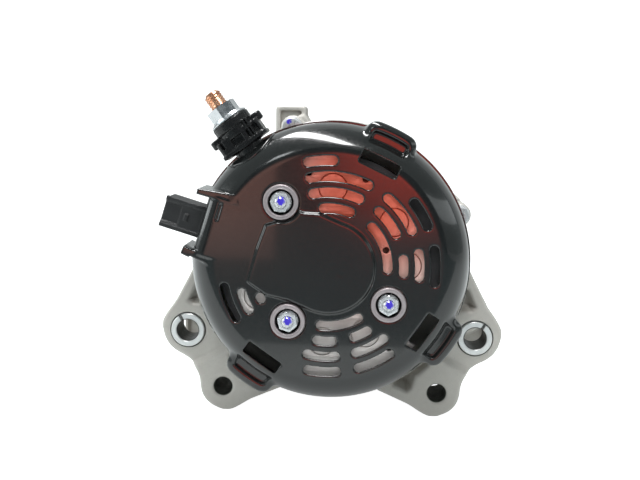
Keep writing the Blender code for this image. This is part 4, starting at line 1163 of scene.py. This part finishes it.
def make_regulator():
    """The regulator with its connector, the terminals and the brush gear."""
    piece = cast("regulator_body", regulator_field, PLASTIC_CELL * 1.2)
    dress(piece, "regulator_body", "black_plastic", "connector_plastic")
    pins = [radial_box("foot", CONNECTOR_ANGLE, (58.8, 61), (-4, 4), (19.9, 22.1))]
    for along in (-3, 0, 3):
        pins.append(radial_box("pin", CONNECTOR_ANGLE, (60, 75), (along - 0.6, along + 0.6), (20.4, 21.6)))
    pins = [softened(pin, 0.25, 3) for pin in pins]
    dress(gathered("pins", pins), "connector_terminals", "copper")

    holder = radial_box("holder", CONNECTOR_ANGLE, (10.5, 31.5), (-5.5, 5.5), (6.4, 23.6))
    cutters = [rod("relief", (0, 0), 10.8, 5, 25, CORE_STEPS)]
    for index in (1, 2):
        y = sum(depth_of(f"brush_{index}")) / 2
        cutters.append(radial_box("channel", CONNECTOR_ANGLE, (9, 30.3), (-2.9, 2.9), (y - 2.7, y + 2.7)))
        make_spring(index, y)
        block_piece = radial_box("brush", CONNECTOR_ANGLE, (7, 21.5), (-2.5, 2.5), (y - 2.3, y + 2.3))
        carved = cut(block_piece, rod("face", (0, 0), 8.35, y - 4, y + 4, CORE_STEPS))
        dress(softened(carved, 0.2), f"brush_{index}", "carbon")
    dress(softened(cut(holder, *cutters), 0.3), "brush_holder", "grey_plastic")


def make_spring(index, y):
    """A round-wire compression spring behind a brush, with closed ends."""
    turns, per_turn, wire, coil_radius = 5, 24, 0.35, 1.9
    start, length = 22.2, 7.4
    path = []
    count = turns * per_turn
    for step in range(count + 1):
        turn = 2 * math.pi * step / per_turn
        share = step / count
        rise = share - 0.06 * math.sin(2 * math.pi * share)
        path.append((start + length * rise, coil_radius * math.cos(turn), coil_radius * math.sin(turn)))
    coil = wires("spring", wire, 2, [path])
    coil.matrix_world = radial_frame(CONNECTOR_ANGLE, y)
    coil = frozen(coil)
    coil.data.shade_smooth()
    dress(coil, f"brush_spring_{index}", "bearing_steel")
    joint = ("first_brush_slide", "second_brush_slide")[index - 1]
    low, high = next(item["range_m"] for item in frame["joints"] if item["name"] == joint)
    share = 1 - (high - low) / (length * MM + wire * MM)
    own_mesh(coil)


# ---------------------------------------------------------------- output terminal

def insulator_field(x, y, z):
    """The moulded seat of the output bolt, with its tabs, ribs and windows."""
    out, along = across(BATTERY_ANGLE, x, z)
    rise = y - BATTERY_Y
    from_axis = np.hypot(along, rise)
    seat = block(from_axis - 9.2, between(out, 75.0, 79.0), 0.3)
    collar = block(from_axis - 8.4, between(out, 64.6, 78.0), 0.3)
    neck = block(from_axis - 7.0, between(out, 57.4, 70), 0.3)
    box = block(smooth_max(np.abs(along) - 11.2, np.abs(rise) - 7.5, 3.0), between(out, 65.3, 73.0), 0.5)
    tabs = block(smooth_max(np.abs(along) - 13.6, np.abs(rise) - 3.0, 3.0), between(out, 71.4, 75.4), 0.8)
    brim = block(smooth_max(np.abs(along) - 11.8, np.abs(rise) - 8.0, 3.0), between(out, 64.9, 66.6), 0.4)
    body = smooth_min(smooth_min(seat, collar, 0.5), neck, 0.4)
    body = smooth_min(smooth_min(body, box, 0.6), smooth_min(tabs, brim, 0.4), 0.5)
    for side in (-6.9, 1.2):
        window = np.maximum(np.abs(along - side) - 2.9, between(out, 67.4, 71.0))
        body = smooth_max(body, -block(window, between(rise, -12, -5.6), 0.5), 0.5)
    groove = np.maximum(between(np.abs(along), 8.0, 9.3), between(out, 69, 80))
    body = smooth_max(body, -block(groove, between(rise, -12, -4.2), 0.2), 0.4)
    for side in (5.6, 7.0):
        rib = np.maximum(np.abs(along + side) - 0.35, between(out, 66, 75.6))
        body = smooth_min(body, block(rib, between(rise, -8.0, -4), 0.15), 0.3)
    return np.maximum(body, 4.5 - from_axis)


def make_battery_terminal():
    """The copper stud, its nut and the insulator."""
    pose = outward(BATTERY_ANGLE, BATTERY_Y)
    radius = 4.0
    profile = [(0, 50.6), (6.0, 50.6), (6.4, 51.0), (6.4, 53.9), (6.1, 54.2), (radius, 54.2), (radius, 77.8)]
    profile += thread(radius, 0.38, 1.25, 78, 92.4)
    profile += [(radius - 0.75, 93.2), (radius - 1.35, 94), (0, 94)]
    dress(shaded(turned("stud", profile, SMALL_STEPS, pose), 40), "battery_stud", "copper")
    nut = flange_nut("nut", pose, 6.3, 9.0, radius + 0.15, (79.3, 81.6, 86.5), 22.0)
    dress(nut, "battery_nut", "zinc_steel")
    dress(cast("battery_insulator", insulator_field, PLASTIC_CELL), "battery_insulator", "black_plastic")


# ---------------------------------------------------------------------- frames

def ear_plate(x, z):
    """Outline of a side's two ears and the web that ties them to the body."""
    side = np.abs(x)
    upper = hull(side, z, (0, 0), 56.1, UPPER_EAR, UPPER_EAR_RADIUS)
    lower = hull(side, z, (0, 0), 50.9, LOWER_EAR, LOWER_EAR_RADIUS)
    notch = hull(side, z, UPPER_EAR, UPPER_EAR_RADIUS, LOWER_EAR, LOWER_EAR_RADIUS)
    notch = smooth_max(notch, 0.8 * side - 0.6 * z - 87.2, 2.0)
    return smooth_min(smooth_min(upper, lower, 2.0), notch, 5.0)


def annulus(radius, y, inner, outer, near, far, rounding=0.5):
    """A ring about the shaft with rounded edges."""
    return block(between(radius, inner, outer), between(y, near, far), rounding)


def windows(x, z, inner, outer, centres, half_angle):
    """Openings between two radii, each centred on an angle."""
    radius = np.hypot(x, z)
    wedges = []
    for centre in centres:
        out, along = across(centre, x, z)
        wedge = np.abs(along) - out * math.tan(math.radians(half_angle))
        wedge = smooth_max(wedge * 0.95, between(radius, inner, outer), 3.0)
        wedges.append(np.maximum(wedge, -out))
    return nearest(wedges)


def bolt_distance(x, z):
    """Distance to the nearest through bolt's axis."""
    return nearest(np.hypot(x - bolt_x, z - bolt_z) for bolt_x, bolt_z in BOLTS)


def side_outlets(x, z, centres):
    """Distance outline of the air outlets in a frame's side wall."""
    places = [across(centre, x, z) for centre in centres]
    return nearest(np.maximum(np.abs(along) - 4, 50 - out) for out, along in places)


def rear_frame_field(x, y, z):
    """The cast rear housing with its four ears."""
    radius = np.hypot(x, z)
    side = np.abs(x)
    back = CORE_Y[0] - 0.3
    skirt = annulus(radius, y, FRAME_INNER, FRAME_RADIUS, 36.6, back, 0.6)
    spigot = annulus(radius, y, FRAME_INNER, 60.8, 27, 40)
    wall = annulus(radius, y, 9.2, 60.0, 27, 30.5)
    wall = smooth_max(wall, -windows(x, z, 25, 48, (-90, 0, 60, 95, 180), 13), 0.8)
    boss = annulus(radius, y, 17.8, 21.5, 28, 43)
    body = smooth_min(smooth_min(wall, spigot, 1.5), smooth_min(skirt, boss, 1.0), 1.5)

    # The web's face steps down from the lower ears to the upper ones along a slanted line.
    step = np.clip(((side - 51.6) * 0.478 + (z + 49.7) * 0.879) / 4.1, 0, 1)
    step = step * step * (3 - 2 * step)
    face = LOWER_FACE_Y + (UPPER_FACE_Y - LOWER_FACE_Y) * step
    outline = np.maximum(ear_plate(x, z), FRAME_INNER + 1 - radius)
    web = block(outline, np.maximum((face - y) * 0.85, y - WEB_BACK_Y), 0.9)
    ear_boss = np.hypot(side - UPPER_EAR[0], z - UPPER_EAR[1])
    lower_boss = np.hypot(side - LOWER_EAR[0], z - LOWER_EAR[1])
    web = smooth_min(web, block(ear_boss - 11.9, between(y, 44, 56.3), 0.8), 2.0)
    web = smooth_min(web, block(lower_boss - LOWER_EAR_RADIUS + 1.5, between(y, 46, LOWER_BOSS_Y), 0.8), 2.0)
    body = smooth_min(body, web, 2.5)

    bolts = bolt_distance(x, z)
    body = smooth_min(body, block(bolts - 5.6, between(y, BOLT_FACE_Y - 1, back - 0.1), 0.7), 2.0)
    body = smooth_max(body, -block(bolts - 5.6, between(y, 36.8, BOLT_FACE_Y), 0.5), 0.8)
    body = np.maximum(body, -np.maximum(bolts - 2.9, between(y, 40, 60)))

    upper = polygon(side, z, [(60, -16.2), (65.4, -16.2), (69.2, -24.0), (67.8, -25.3), (60, -25.3)]) - 0.9
    lower = polygon(side, z, [
        (46, -46.9), (48.4, -50.6), (44.8, -54.2), (41.2, -57.6), (39.4, -63.4), (37.6, -64.9),
        (31.4, -62.2), (31, -58),
    ]) - 0.9
    pocket = np.minimum(upper, lower) + (y - face) * 0.30
    body = smooth_max(body, -smooth_max(pocket, y - WEB_BACK_Y + 3.2, 2.5), 1.6)

    bore = ear_boss - 8.55 - np.clip(0.6 - (y - UPPER_FACE_Y), 0, 0.6)
    hole = lower_boss - 4.4 - np.clip(0.7 - (y - LOWER_FACE_Y) * 0.7, 0, 0.7)
    body = smooth_max(body, -np.maximum(bore, between(y, 30, 70)), 0.3)
    body = smooth_max(body, -np.maximum(hole, between(y, 30, 70)), 0.8)
    outlets = side_outlets(x, z, (36, 56, 76, 126, 144, -100, -80))
    return smooth_max(body, -block(outlets, between(y, 46, 55), 1.0), 0.8)


def drive_frame_field(x, y, z):
    """The cast front housing with the bearing seat, front ears and top lug."""
    radius = np.hypot(x, z)
    side = np.abs(x)
    near, far = 108.0, 112.0
    start = CORE_Y[1] + 0.3
    skirt = annulus(radius, y, FRAME_INNER, FRAME_RADIUS, start, far - 1, 0.6)
    wall = annulus(radius, y, 22, FRAME_RADIUS - 2, near, far, 1.2)
    body = smooth_min(skirt, wall, 2.0)
    boss = np.maximum(radius - 32 + np.clip(y - far, 0, 20) / 3, between(y, 104, 121))
    body = smooth_min(body, boss, 1.8)
    turn = np.arctan2(z, x)
    spoke = np.abs((turn * 3 / math.pi) % 1 - 0.5) * math.pi / 3 * radius
    rib_face = 115.5 - np.clip(radius - 30, 0, 40) * 0.1
    rib = block(np.maximum(spoke - 1.7, between(radius, 28, 61)), between(y, 108, rib_face), 0.6)
    body = smooth_min(body, rib, 2.0)

    gusset = polygon(side, z, [(60, -30), (84.5, -38), (85, -58), (62, -73), (45, -60)]) - 1
    plate = smooth_min(ear_plate(x, z), gusset, 2.0)
    outline = np.maximum(plate, FRAME_INNER + 1 - radius)
    ear_boss = np.hypot(side - UPPER_EAR[0], z - UPPER_EAR[1])
    lower_boss = np.hypot(side - LOWER_EAR[0], z - LOWER_EAR[1])
    web = block(outline, between(y, 98, 110), 0.9)
    pads = block(np.minimum(ear_boss - 10.8, lower_boss - 9.8), between(y, 96.5, 110), 0.6)
    body = smooth_min(body, smooth_min(web, pads, 1.0), 2.5)
    inner = block(plate + 4.2, between(y, 90, 104), 1.0)
    inner = smooth_max(inner, -np.minimum(ear_boss - 12.2, lower_boss - 11.0), 1.5)
    inner = np.maximum(inner, FRAME_RADIUS + 2.5 - radius)
    body = smooth_max(body, -inner, 1.5)

    lug = smooth_max(between(x, -33.4, -17.3), between(z, 50.5, 71.3), 2.4)
    lug = block(lug, between(y, 93, 109), 0.7)
    recess = smooth_max(between(x, -31.0, -19.7), between(z, 58.5, 68.9), 1.6)
    recess = block(recess, between(y, 85, 96.2), 0.7)
    lug = smooth_max(lug, -recess, 1.0)
    body = smooth_min(body, lug, 0.8)
    body = smooth_min(body, block(bolt_distance(x, z) - 5.6, between(y, start + 0.1, 108), 0.7), 2.0)

    bearing = np.maximum(radius - 23.8, between(y, 100, 118.6))
    opening = np.maximum(radius - 16, between(y, 100, 125))
    body = smooth_max(body, -np.minimum(bearing, opening), 0.5)
    body = np.maximum(body, -np.maximum(bolt_distance(x, z) - 2.9, between(y, 80, 106)))
    for angle in RETAINER_SCREW_ANGLES:
        screw_x, screw_z = polar(RETAINER_SCREW_CIRCLE, angle)
        body = np.maximum(body, -np.maximum(np.hypot(x - screw_x, z - screw_z) - 1.9, between(y, 100, 112)))
    body = smooth_max(body, -np.maximum(ear_boss - 5.3, between(y, 90, 120)), 0.8)
    body = smooth_max(body, -np.maximum(lower_boss - 4.4, between(y, 90, 120)), 0.8)
    inlets = windows(x, z, 33.5, 53, (-120, -60, 0, 60, 120, 180), 19)
    body = smooth_max(body, -np.maximum(inlets, between(y, 105, 130)), 1.2)
    room = np.maximum(radius - FRAME_INNER, between(y, 80, near))
    room = np.maximum(room, 29.2 - radius)
    body = smooth_max(body, -room, 1.0)
    outlets = side_outlets(x, z, (-90, 36, 56, 76, 126, 144))
    return smooth_max(body, -block(outlets, between(y, 97, 106), 1.0), 0.8)


def make_frames():
    """Both cast frames, the bushings and the through bolts."""
    low, high = zip(*span("rear_end_frame"))
    piece = skinned("rear_frame", rear_frame_field, (low[0], 26.5, low[2]), high, FRAME_CELL)
    dress(piece, "rear_end_frame", "cast_aluminium")
    dress(cast("drive_end_frame", drive_frame_field, FRAME_CELL), "drive_end_frame", "cast_aluminium")

    for side, node, split in ((-1, "mount_bushing_left", 118), (1, "mount_bushing_right", 58)):
        centre = (side * UPPER_EAR[0], UPPER_EAR[1])
        near, far = depth_of(node)
        sleeve = turned("bushing", [
            (5.25, near + 0.75), (5.85, near), (7.85, near), (8.25, near + 0.4), (8.25, far - 0.4),
            (7.85, far), (5.85, far), (5.25, far - 0.75),
        ], CORE_STEPS, along_shaft(centre))
        tip = [polar(4, split), polar(10, split)]
        width_x, width_z = polar(0.75, split + 90)
        slit = [
            (centre[0] + x + sign * width_x, centre[1] + z + sign * width_z)
            for (x, z), sign in ((tip[0], 1), (tip[1], 1), (tip[1], -1), (tip[0], -1))
        ]
        sleeve = cut(sleeve, prism("slit", [slit], near - 1, far + 1))
        dress(centred(softened(sleeve, 0.12), centre), node, "bushing_steel")

    for index, centre in enumerate(BOLTS, 1):
        face = BOLT_FACE_Y - 0.3
        bolt = turned("bolt", [
            (0, face - 3), (3.9, face - 2.2), (5.0, face - 0.7), (5.0, face), (2.5, face), (2.5, 103),
            (1.9, 105), (0, 105),
        ], SMALL_STEPS, along_shaft(centre))
        heights = (face - 0.6, face - 2.0, face - 5.5)
        head = flange_nut("head", along_shaft(centre), 4.0, 4.4, 1.6, heights, 11 * index)
        cap = turned("cap", [(0, face - 4.9), (2.2, face - 4.9), (2.2, face - 1), (0, face - 1)],
                     SMALL_STEPS, along_shaft(centre))
        bolt = shaded(gathered("bolt", [softened(bolt, 0.1), head, cap]))
        dress(centred(bolt, centre), f"through_bolt_{index}", "zinc_steel", "marked_bolt")


# ---------------------------------------------------------------------- stator

def make_stator():
    """The lamination stack and the hairpin winding."""
    slots = 48
    bore = []
    for index in range(slots):
        middle = index * 360 / slots
        bore += arc((0, 0), 50.4, middle - 180 / slots, middle - 1.35, 2)
        bore += [polar(57.2, middle - 1.2), polar(57.2, middle + 1.2), polar(50.4, middle + 1.35)]
    profile = [(49.0, CORE_Y[0])]
    sheet = 1.0
    for index in range(round((CORE_Y[1] - CORE_Y[0]) / sheet)):
        low = CORE_Y[0] + index * sheet
        high = low + sheet
        profile += [(60.85, low), (61.0, low + 0.12), (61.0, high - 0.12), (60.85, high - 0.001)]
    profile.append((49.0, CORE_Y[1]))
    stack = turned("stack", profile, RING_STEPS)
    through = (CORE_Y[0] - 1, CORE_Y[1] + 1)
    stack = cut(stack, prism("bore", [bore], *through))
    seams = [rod("seam", polar(61.6, angle), 1.5, *through, 16) for angle in range(30, 390, 60)]
    dress(shaded(cut(stack, *seams), 25), "stator_core", "lamination")

    near, far = depth_of("stator_winding")
    pitch = 360 / slots
    paths = []
    for index in range(slots):
        slot = index * pitch
        path = [
            (54.9, slot - 3 * pitch, far - 1),
            (54.9, slot - 2.6 * pitch, far - 3),
            (54.9, slot, CORE_Y[1] + 4),
            (54.9, slot, CORE_Y[0] - 4),
            (54.7, slot + 2.6 * pitch, near + 2.2),
            (53.6, slot + 3 * pitch, near + 1),
            (52.5, slot + 3.4 * pitch, near + 2.2),
            (52.3, slot + 6 * pitch, CORE_Y[0] - 4),
            (52.3, slot + 6 * pitch, CORE_Y[1] + 4),
            (52.3, slot + 8.6 * pitch, far - 3),
            (52.3, slot + 9 * pitch, far - 1),
        ]
        points = [(polar(radius, angle), y) for radius, angle, y in path]
        paths.append([(x, y, z) for (x, z), y in points])
    winding = frozen(wires("winding", 0.95, 2, paths))
    winding.data.shade_smooth()
    dress(winding, "stator_winding", "winding_copper")


# -------------------------------------------------------------- rotor and pulley

def race(radii, y_span, outer):
    """A bearing race with its round ball groove."""
    bore, inner_edge, outer_edge, outside = radii
    near, far = y_span
    middle = (near + far) / 2
    wall, back, sign = (outer_edge, outside, 1) if outer else (inner_edge, bore, -1)
    groove = []
    for step in range(13):
        angle = math.pi * step / 12
        groove.append((wall + sign * 1.1 * math.sin(angle), middle - 3 * math.cos(angle)))
    profile = [(back, near), (wall, near), *groove, (wall, far), (back, far)]
    return softened(turned("race", profile), 0.25)


def ball_cage(radii, y_span, balls):
    """The balls of a bearing and the band that spaces them."""
    pitch = (radii[1] + radii[2]) / 2
    middle = sum(y_span) / 2
    ball_radius = (radii[2] - radii[1]) / 2 + 0.45
    half = ball_radius + 0.6
    parts = [softened(ring("band", pitch - 1, pitch + 1, middle - half, middle + half), 0.2)]
    for index in range(balls):
        x, z = polar(pitch, index * 360 / balls)
        shape = bmesh.new()
        bmesh.ops.create_uvsphere(shape, u_segments=32, v_segments=16, radius=ball_radius * MM)
        bmesh.ops.translate(shape, vec=(x * MM, middle * MM, z * MM), verts=shape.verts)
        parts.append(from_shape("ball", shape))
        parts[-1].data.shade_smooth()
    return shaded(gathered("cage", parts))


def make_bearings():
    """Both deep groove bearings, the retainer plate and its screws."""
    for place, radii, balls in (("front", (8.7, 12.9, 19.3, 23.5), 7), ("rear", (7.7, 10.3, 14.9, 17.5), 8)):
        y_span = depth_of(f"{place}_bearing_outer_race")
        dress(race(radii, y_span, True), f"{place}_bearing_outer_race", "bearing_steel")
        dress(race(radii, y_span, False), f"{place}_bearing_inner_race", "bearing_steel")
        dress(ball_cage(radii, y_span, balls), f"{place}_ball_cage", "bearing_steel")
    holes = [circle((0, 0), 18.5, CORE_STEPS)]
    for index, angle in enumerate(RETAINER_SCREW_ANGLES, 1):
        centre = polar(RETAINER_SCREW_CIRCLE, angle)
        holes.append(circle(centre, 2.2))
        screw = turned("screw", [
            (0, 98.9), (1.6, 98.9), (2.5, 99.2), (3.1, 99.9), (3.1, 100.9), (1.6, 100.9),
            (1.6, 109.6), (1.2, 110), (0, 110),
        ], SMALL_STEPS, along_shaft(centre))
        socket = turned("socket", [(0, 98), (1.4, 98), (1.4, 100), (0, 100)], 6, along_shaft(centre))
        dress(softened(cut(screw, socket), 0.1), f"retainer_screw_{index}", "zinc_steel")
    plate = prism("plate", [circle((0, 0), 29.5, CORE_STEPS), *holes], *depth_of("bearing_retainer_plate"))
    dress(softened(plate, 0.3), "bearing_retainer_plate", "zinc_steel")


def claw_cutters(base_y, tip_y, phase):
    """Tapered blocks that leave the claws of one pole core."""
    claws = []
    for index in range(8):
        shape = bmesh.new()
        bmesh.ops.create_cube(shape, size=1)
        for vert in shape.verts:
            at_tip = vert.co.y > 0
            half = 3.6 if at_tip else 9.6
            vert.co.x = (30 if vert.co.x < 0 else 56) * MM
            vert.co.z = math.copysign(half, vert.co.z) * MM
            vert.co.y = (tip_y if at_tip else base_y) * MM
        bmesh.ops.transform(shape, matrix=radial_frame(phase + index * 45), verts=shape.verts)
        bmesh.ops.recalc_face_normals(shape, faces=shape.faces)
        claws.append(from_shape("claw", shape))
    return union(claws[0], *claws[1:])


def pole_core(back_y, inward, phase):
    """One claw pole core; inward is +1 or -1 along Y, from its back."""
    def at(distance):
        return back_y + inward * distance

    claws = turned("claws", [
        (41.6, at(0.2)), (48.3, at(0.2)), (49.5, at(1.4)), (49.5, at(33)), (49.0, at(34)), (46.6, at(34)),
        (41.6, at(9)),
    ])
    claws = combined(claws, "INTERSECT", [claw_cutters(at(-1), at(35), phase)])
    hub = turned("hub", [
        (9.3, at(0)), (42.4, at(0)), (42.4, at(8.8)), (24, at(8.8)), (24, at(18.35)), (9.3, at(18.35)),
    ])
    return softened(union(hub, claws), 0.5)


def fan(base_y, inward, blades, phase):
    """A sheet fan on the end of the rotor, with curved leaning blades."""
    near, far = sorted((base_y, base_y + inward * 1.2))
    parts = [softened(ring("disc", 12, 46, near, far), 0.2)]
    for index in range(blades):
        centre_line = []
        for step in range(7):
            share = step / 6
            centre_line.append((31.8 + 13.2 * share, phase + index * 360 / blades + 15 * share ** 1.5))
        outline = [polar(radius, angle - 0.95 * 31 / radius) for radius, angle in centre_line]
        outline += [polar(radius, angle + 0.95 * 31 / radius) for radius, angle in reversed(centre_line)]
        span_y = sorted((base_y + inward * 0.6, base_y + inward * 9))
        parts.append(softened(prism("blade", [outline], *span_y), 0.2))
    return shaded(gathered("fan", parts))


def make_rotor():
    """The shaft, pole cores, coil, fans and slip rings."""
    shaft = turned("shaft", [
        (0, 5), (3.5, 5), (4, 5.5), (4, 25.5), (6.9, 25.5), (7.4, 26), (7.4, 44.5), (9, 44.5),
        (9, 103.8), (8.4, 103.8), (8.4, 143), (7.4, 144), (0, 144),
    ])
    dress(softened(shaft, 0.15), "rotor_shaft", "bearing_steel")
    dress(pole_core(56.5, 1, 0), "rear_pole_core", "dark_steel")
    dress(pole_core(93.5, -1, 22.5), "front_pole_core", "dark_steel")
    coil = [(24.8, 65.8)]
    layers = 12
    for index in range(layers):
        start = 65.8 + 18.4 * index / layers
        coil += [(39.6, start + 0.05), (40.0, start + 0.75), (39.6, start + 1.5)]
    coil.append((24.8, 84.2))
    piece = turned("coil", coil)
    piece.data.shade_smooth()
    dress(piece, "field_coil", "winding_copper")
    dress(fan(56.2, -1, 11, 0), "rear_fan", "dark_steel")
    dress(fan(93.8, 1, 13, 10), "front_fan", "dark_steel")
    dress(softened(ring("sleeve", 4.3, 6.4, 5.4, 24.6), 0.3), "slip_ring_insulator", "black_plastic")
    for index in (1, 2):
        near, far = depth_of(f"slip_ring_{index}")
        dress(softened(ring("slip", 6.7, 8.0, near, far), 0.3), f"slip_ring_{index}", "copper")


def make_pulley():
    """The grooved ring, the hub, the rollers and the dust cap."""
    near, far = PULLEY_Y
    pitch, depth, radius, ribs = 3.56, 3.0, 28.5, 6
    first = (near + far) / 2 - pitch * ribs / 2
    profile = [(17.4, near), (26.5, near), (28.1, near + 0.4), (radius, near + 0.8), (radius, first - 0.5)]
    for index in range(ribs):
        start = first + index * pitch
        profile += [
            (radius - 0.25, start - 0.28), (radius - 0.25, start + 0.28),
            (radius - depth, start + pitch / 2 - 0.25), (radius - depth, start + pitch / 2 + 0.25),
        ]
    end = first + pitch * ribs
    profile += [
        (radius - 0.25, end - 0.28), (radius - 0.25, end + 0.28), (radius, end + 0.5), (radius, far - 0.8),
        (27.9, far), (21.2, far), (20.4, far - 0.7), (20.4, 145), (17.4, 145),
    ]
    dress(softened(turned("pulley", profile, RING_STEPS), 0.12), "pulley_ring", "dark_steel")
    dress(softened(ring("hub", 8.7, 13, 121.6, 144), 0.5), "pulley_hub", "bearing_steel")
    rollers = [softened(rod("roller", polar(15.2, index * 45), 1.7, 127, 143, 24), 0.3) for index in range(8)]
    cage = softened(ring("cage", 14.4, 16, 128, 142), 0.2)
    dress(gathered("rollers", [cage, *rollers]), "clutch_rollers", "bearing_steel")
    cap = turned("cap", [
        (0, 147.6), (18, 147.6), (18, 145.6), (20, 145.6), (20, 148.3), (19.2, 149.2), (17.4, 149.6),
        (13.6, 149.6), (13.0, 149.0), (6, 149.0), (5.4, 149.6), (0, 149.6),
    ])
    dress(softened(cap, 0.15), "pulley_cap", "black_plastic")


# ---------------------------------------------------------- studio and camera

def emitter(name, size, place, aim, colour, strength):
    """A soft rectangular light."""
    light = bpy.data.lights.new(name, "AREA")
    light.shape = "RECTANGLE"
    light.size, light.size_y = size
    light.color = colour
    light.energy = strength
    holder = linked(name, light)
    holder.location = place
    holder.rotation_euler = (Vector(aim) - Vector(place)).to_track_quat("-Z", "Y").to_euler()
    holder.visible_camera = False
    return holder


def ramp(tree, socket, low, high):
    """A smooth rise from 0 to 1 between two values of a socket."""
    node = tree.nodes.new("ShaderNodeMapRange")
    node.interpolation_type = "SMOOTHSTEP"
    tree.links.new(socket, node.inputs["Value"])
    node.inputs[1].default_value = low
    node.inputs[2].default_value = high
    return node.outputs["Result"]


def dark_cloth(name, size, place, upright, glow):
    """A dark cloth in front of the object, that only shows in its reflections."""
    shape = bmesh.new()
    bmesh.ops.create_grid(shape, x_segments=1, y_segments=1, size=0.5)
    cloth = from_shape(name, shape)
    cloth.scale = (*size, 1)
    cloth.location = place
    cloth.rotation_euler = (math.pi / 2 if upright else 0, 0, 0)
    shader = Shader(name)
    weave = shader.noise(3)
    shader.set(Base_Color=shader.mix(weave, (0.03, 0.035, 0.04), (0.05, 0.055, 0.06)), Roughness=0.9)
    shader.set(Emission_Color=(*glow, 1), Emission_Strength=1.0)
    cloth.data.materials.append(shader.material)
    cloth.visible_camera = False
    cloth.visible_diffuse = False
    cloth.visible_shadow = False


def receivers(name, *nodes):
    """A collection of the pieces made for these nodes, for a light that reaches only them."""
    group = bpy.data.collections.new(name)
    for piece in bpy.context.scene.objects:
        if piece.name.startswith(nodes) and piece.name.endswith("_fine"):
            group.objects.link(piece)
    return group


def soft_edges(holder, inner=0.1):
    """Fade a light from its middle to its rim, so that its mirror image has no edge."""
    light = holder.data
    light.use_nodes = True
    tree = light.node_tree
    glow = tree.nodes["Emission"]
    middle = tree.nodes.new("ShaderNodeVectorMath")
    middle.operation = "DISTANCE"
    tree.links.new(tree.nodes.new("ShaderNodeNewGeometry").outputs["Parametric"], middle.inputs[0])
    middle.inputs[1].default_value = (0.5, 0.5, 0)
    tree.links.new(ramp(tree, middle.outputs["Value"], 0.5, inner), glow.inputs["Strength"])


def floor_and_sky():
    """A pale seamless sweep under and behind the part, and an even white surround."""
    low_z = CAD_LOW.z - 0.0006
    shape = bmesh.new()
    rows = [(-1.6, low_z), (1.1, low_z)]
    bend = 0.35
    for step in range(1, 17):
        angle = math.radians(90 * step / 16)
        rows.append((1.1 + bend * math.sin(angle), low_z + bend - bend * math.cos(angle)))
    rows.append((1.1 + bend, 2.4))
    previous = None
    for y, z in rows:
        pair = [shape.verts.new((x, y, z)) for x in (-2.4, 2.4)]
        if previous:
            shape.faces.new((previous[0], previous[1], pair[1], pair[0]))
        previous = pair
    sweep = from_shape("studio_sweep", shape)
    sweep.data.shade_smooth()
    shader = Shader("studio_paper")
    seen = shader.tree.nodes.new("ShaderNodeLightPath").outputs["Is Camera Ray"]
    shader.set(
        Base_Color=shader.mix(shader.noise(40), (0.42, 0.45, 0.45), (0.45, 0.48, 0.48)),
        Roughness=0.9,
        Emission_Color=(1.0, 1.0, 1.0),
        Emission_Strength=shader.ranged(seen, 0.0, 1.0, PAPER_GLOW, 1.0),
    )
    sweep.data.materials.append(shader.material)

    world = bpy.data.worlds.new("studio")
    bpy.context.scene.world = world
    world.use_nodes = True
    world.node_tree.nodes["Background"].inputs["Color"].default_value = (*SKY_COLOUR, 1)
    world.node_tree.nodes["Background"].inputs["Strength"].default_value = SKY_STRENGTH


def make_studio():
    """Backdrop, lights and camera."""
    floor_and_sky()
    dark_cloth("floor_cloth", (1.8, 0.80), (0, -0.56, CAD_LOW.z + 0.002), False, FLOOR_CLOTH_GLOW)
    dark_cloth("wall_cloth", (1.5, 0.9), (0.05, -0.95, 0.25), True, WALL_CLOTH_GLOW)
    centre = (0, 0.03, 0)
    white = (1.0, 1.0, 1.0)
    cool = (0.94, 0.99, 1.0)
    emitter("overhead_strip", (1.1, 0.12), (-0.12, -0.02, 0.75), centre, white, 9)
    emitter("upper_left", (0.16, 0.12), (-0.36, -0.72, 0.55), centre, cool, 0.35)
    emitter("left_wall", (0.6, 0.3), (-0.85, -0.05, 0.25), centre, cool, 1.6)
    emitter("right_strip", (1.2, 0.20), (0.80, -0.15, 0.30), centre, cool, 0.7)
    front = emitter("front_fill", (1.1, 0.3), (-0.05, -0.70, 0.60), centre, white, 4)
    front.visible_glossy = False

    inside = emitter("inside_fill", (0.5, 0.4), (0.03, -0.75, 0.13), centre, white, 1.4)
    inside.light_linking.receiver_collection = receivers("behind_the_vents", "positive_", "negative_")
    for name, place, size, colour, strength in (
        ("red_drape", (0.055, -0.50, 0.055), 0.26, (1.0, 0.09, 0.05), 0.60),
        ("brown_drape", (-0.13, -0.50, 0.03), 0.36, (1.0, 0.46, 0.36), 0.50),
    ):
        drape = emitter(name, (size, size), place, (place[0], 0, place[2]), colour, strength)
        drape.light_linking.receiver_collection = receivers(name, "rear_cover")
        drape.visible_diffuse = False
        soft_edges(drape)

    data = bpy.data.cameras.new("camera")
    data.sensor_width = 36
    data.lens = 53.1
    camera = linked("camera", data)
    yaw, pitch, roll = (math.radians(value) for value in (-3.09, -7.62, 1.04))
    camera.location = (18.4 * MM, -410.1 * MM, 67.4 * MM)
    ahead = Vector((math.sin(yaw) * math.cos(pitch), math.cos(yaw) * math.cos(pitch), math.sin(pitch)))
    right = Vector((math.cos(yaw), -math.sin(yaw), 0))
    up = right.cross(ahead)
    tilted_right = right * math.cos(roll) + up * math.sin(roll)
    tilted_up = up * math.cos(roll) - right * math.sin(roll)
    axes = Matrix((tilted_right, tilted_up, -ahead)).transposed()
    camera.rotation_euler = axes.to_euler()
    bpy.context.scene.camera = camera
    bpy.context.scene.view_settings.view_transform = "Standard"


make_rear_cover()
make_rectifier()
make_regulator()
make_battery_terminal()
make_frames()
make_stator()
make_bearings()
make_rotor()
make_pulley()
make_studio()
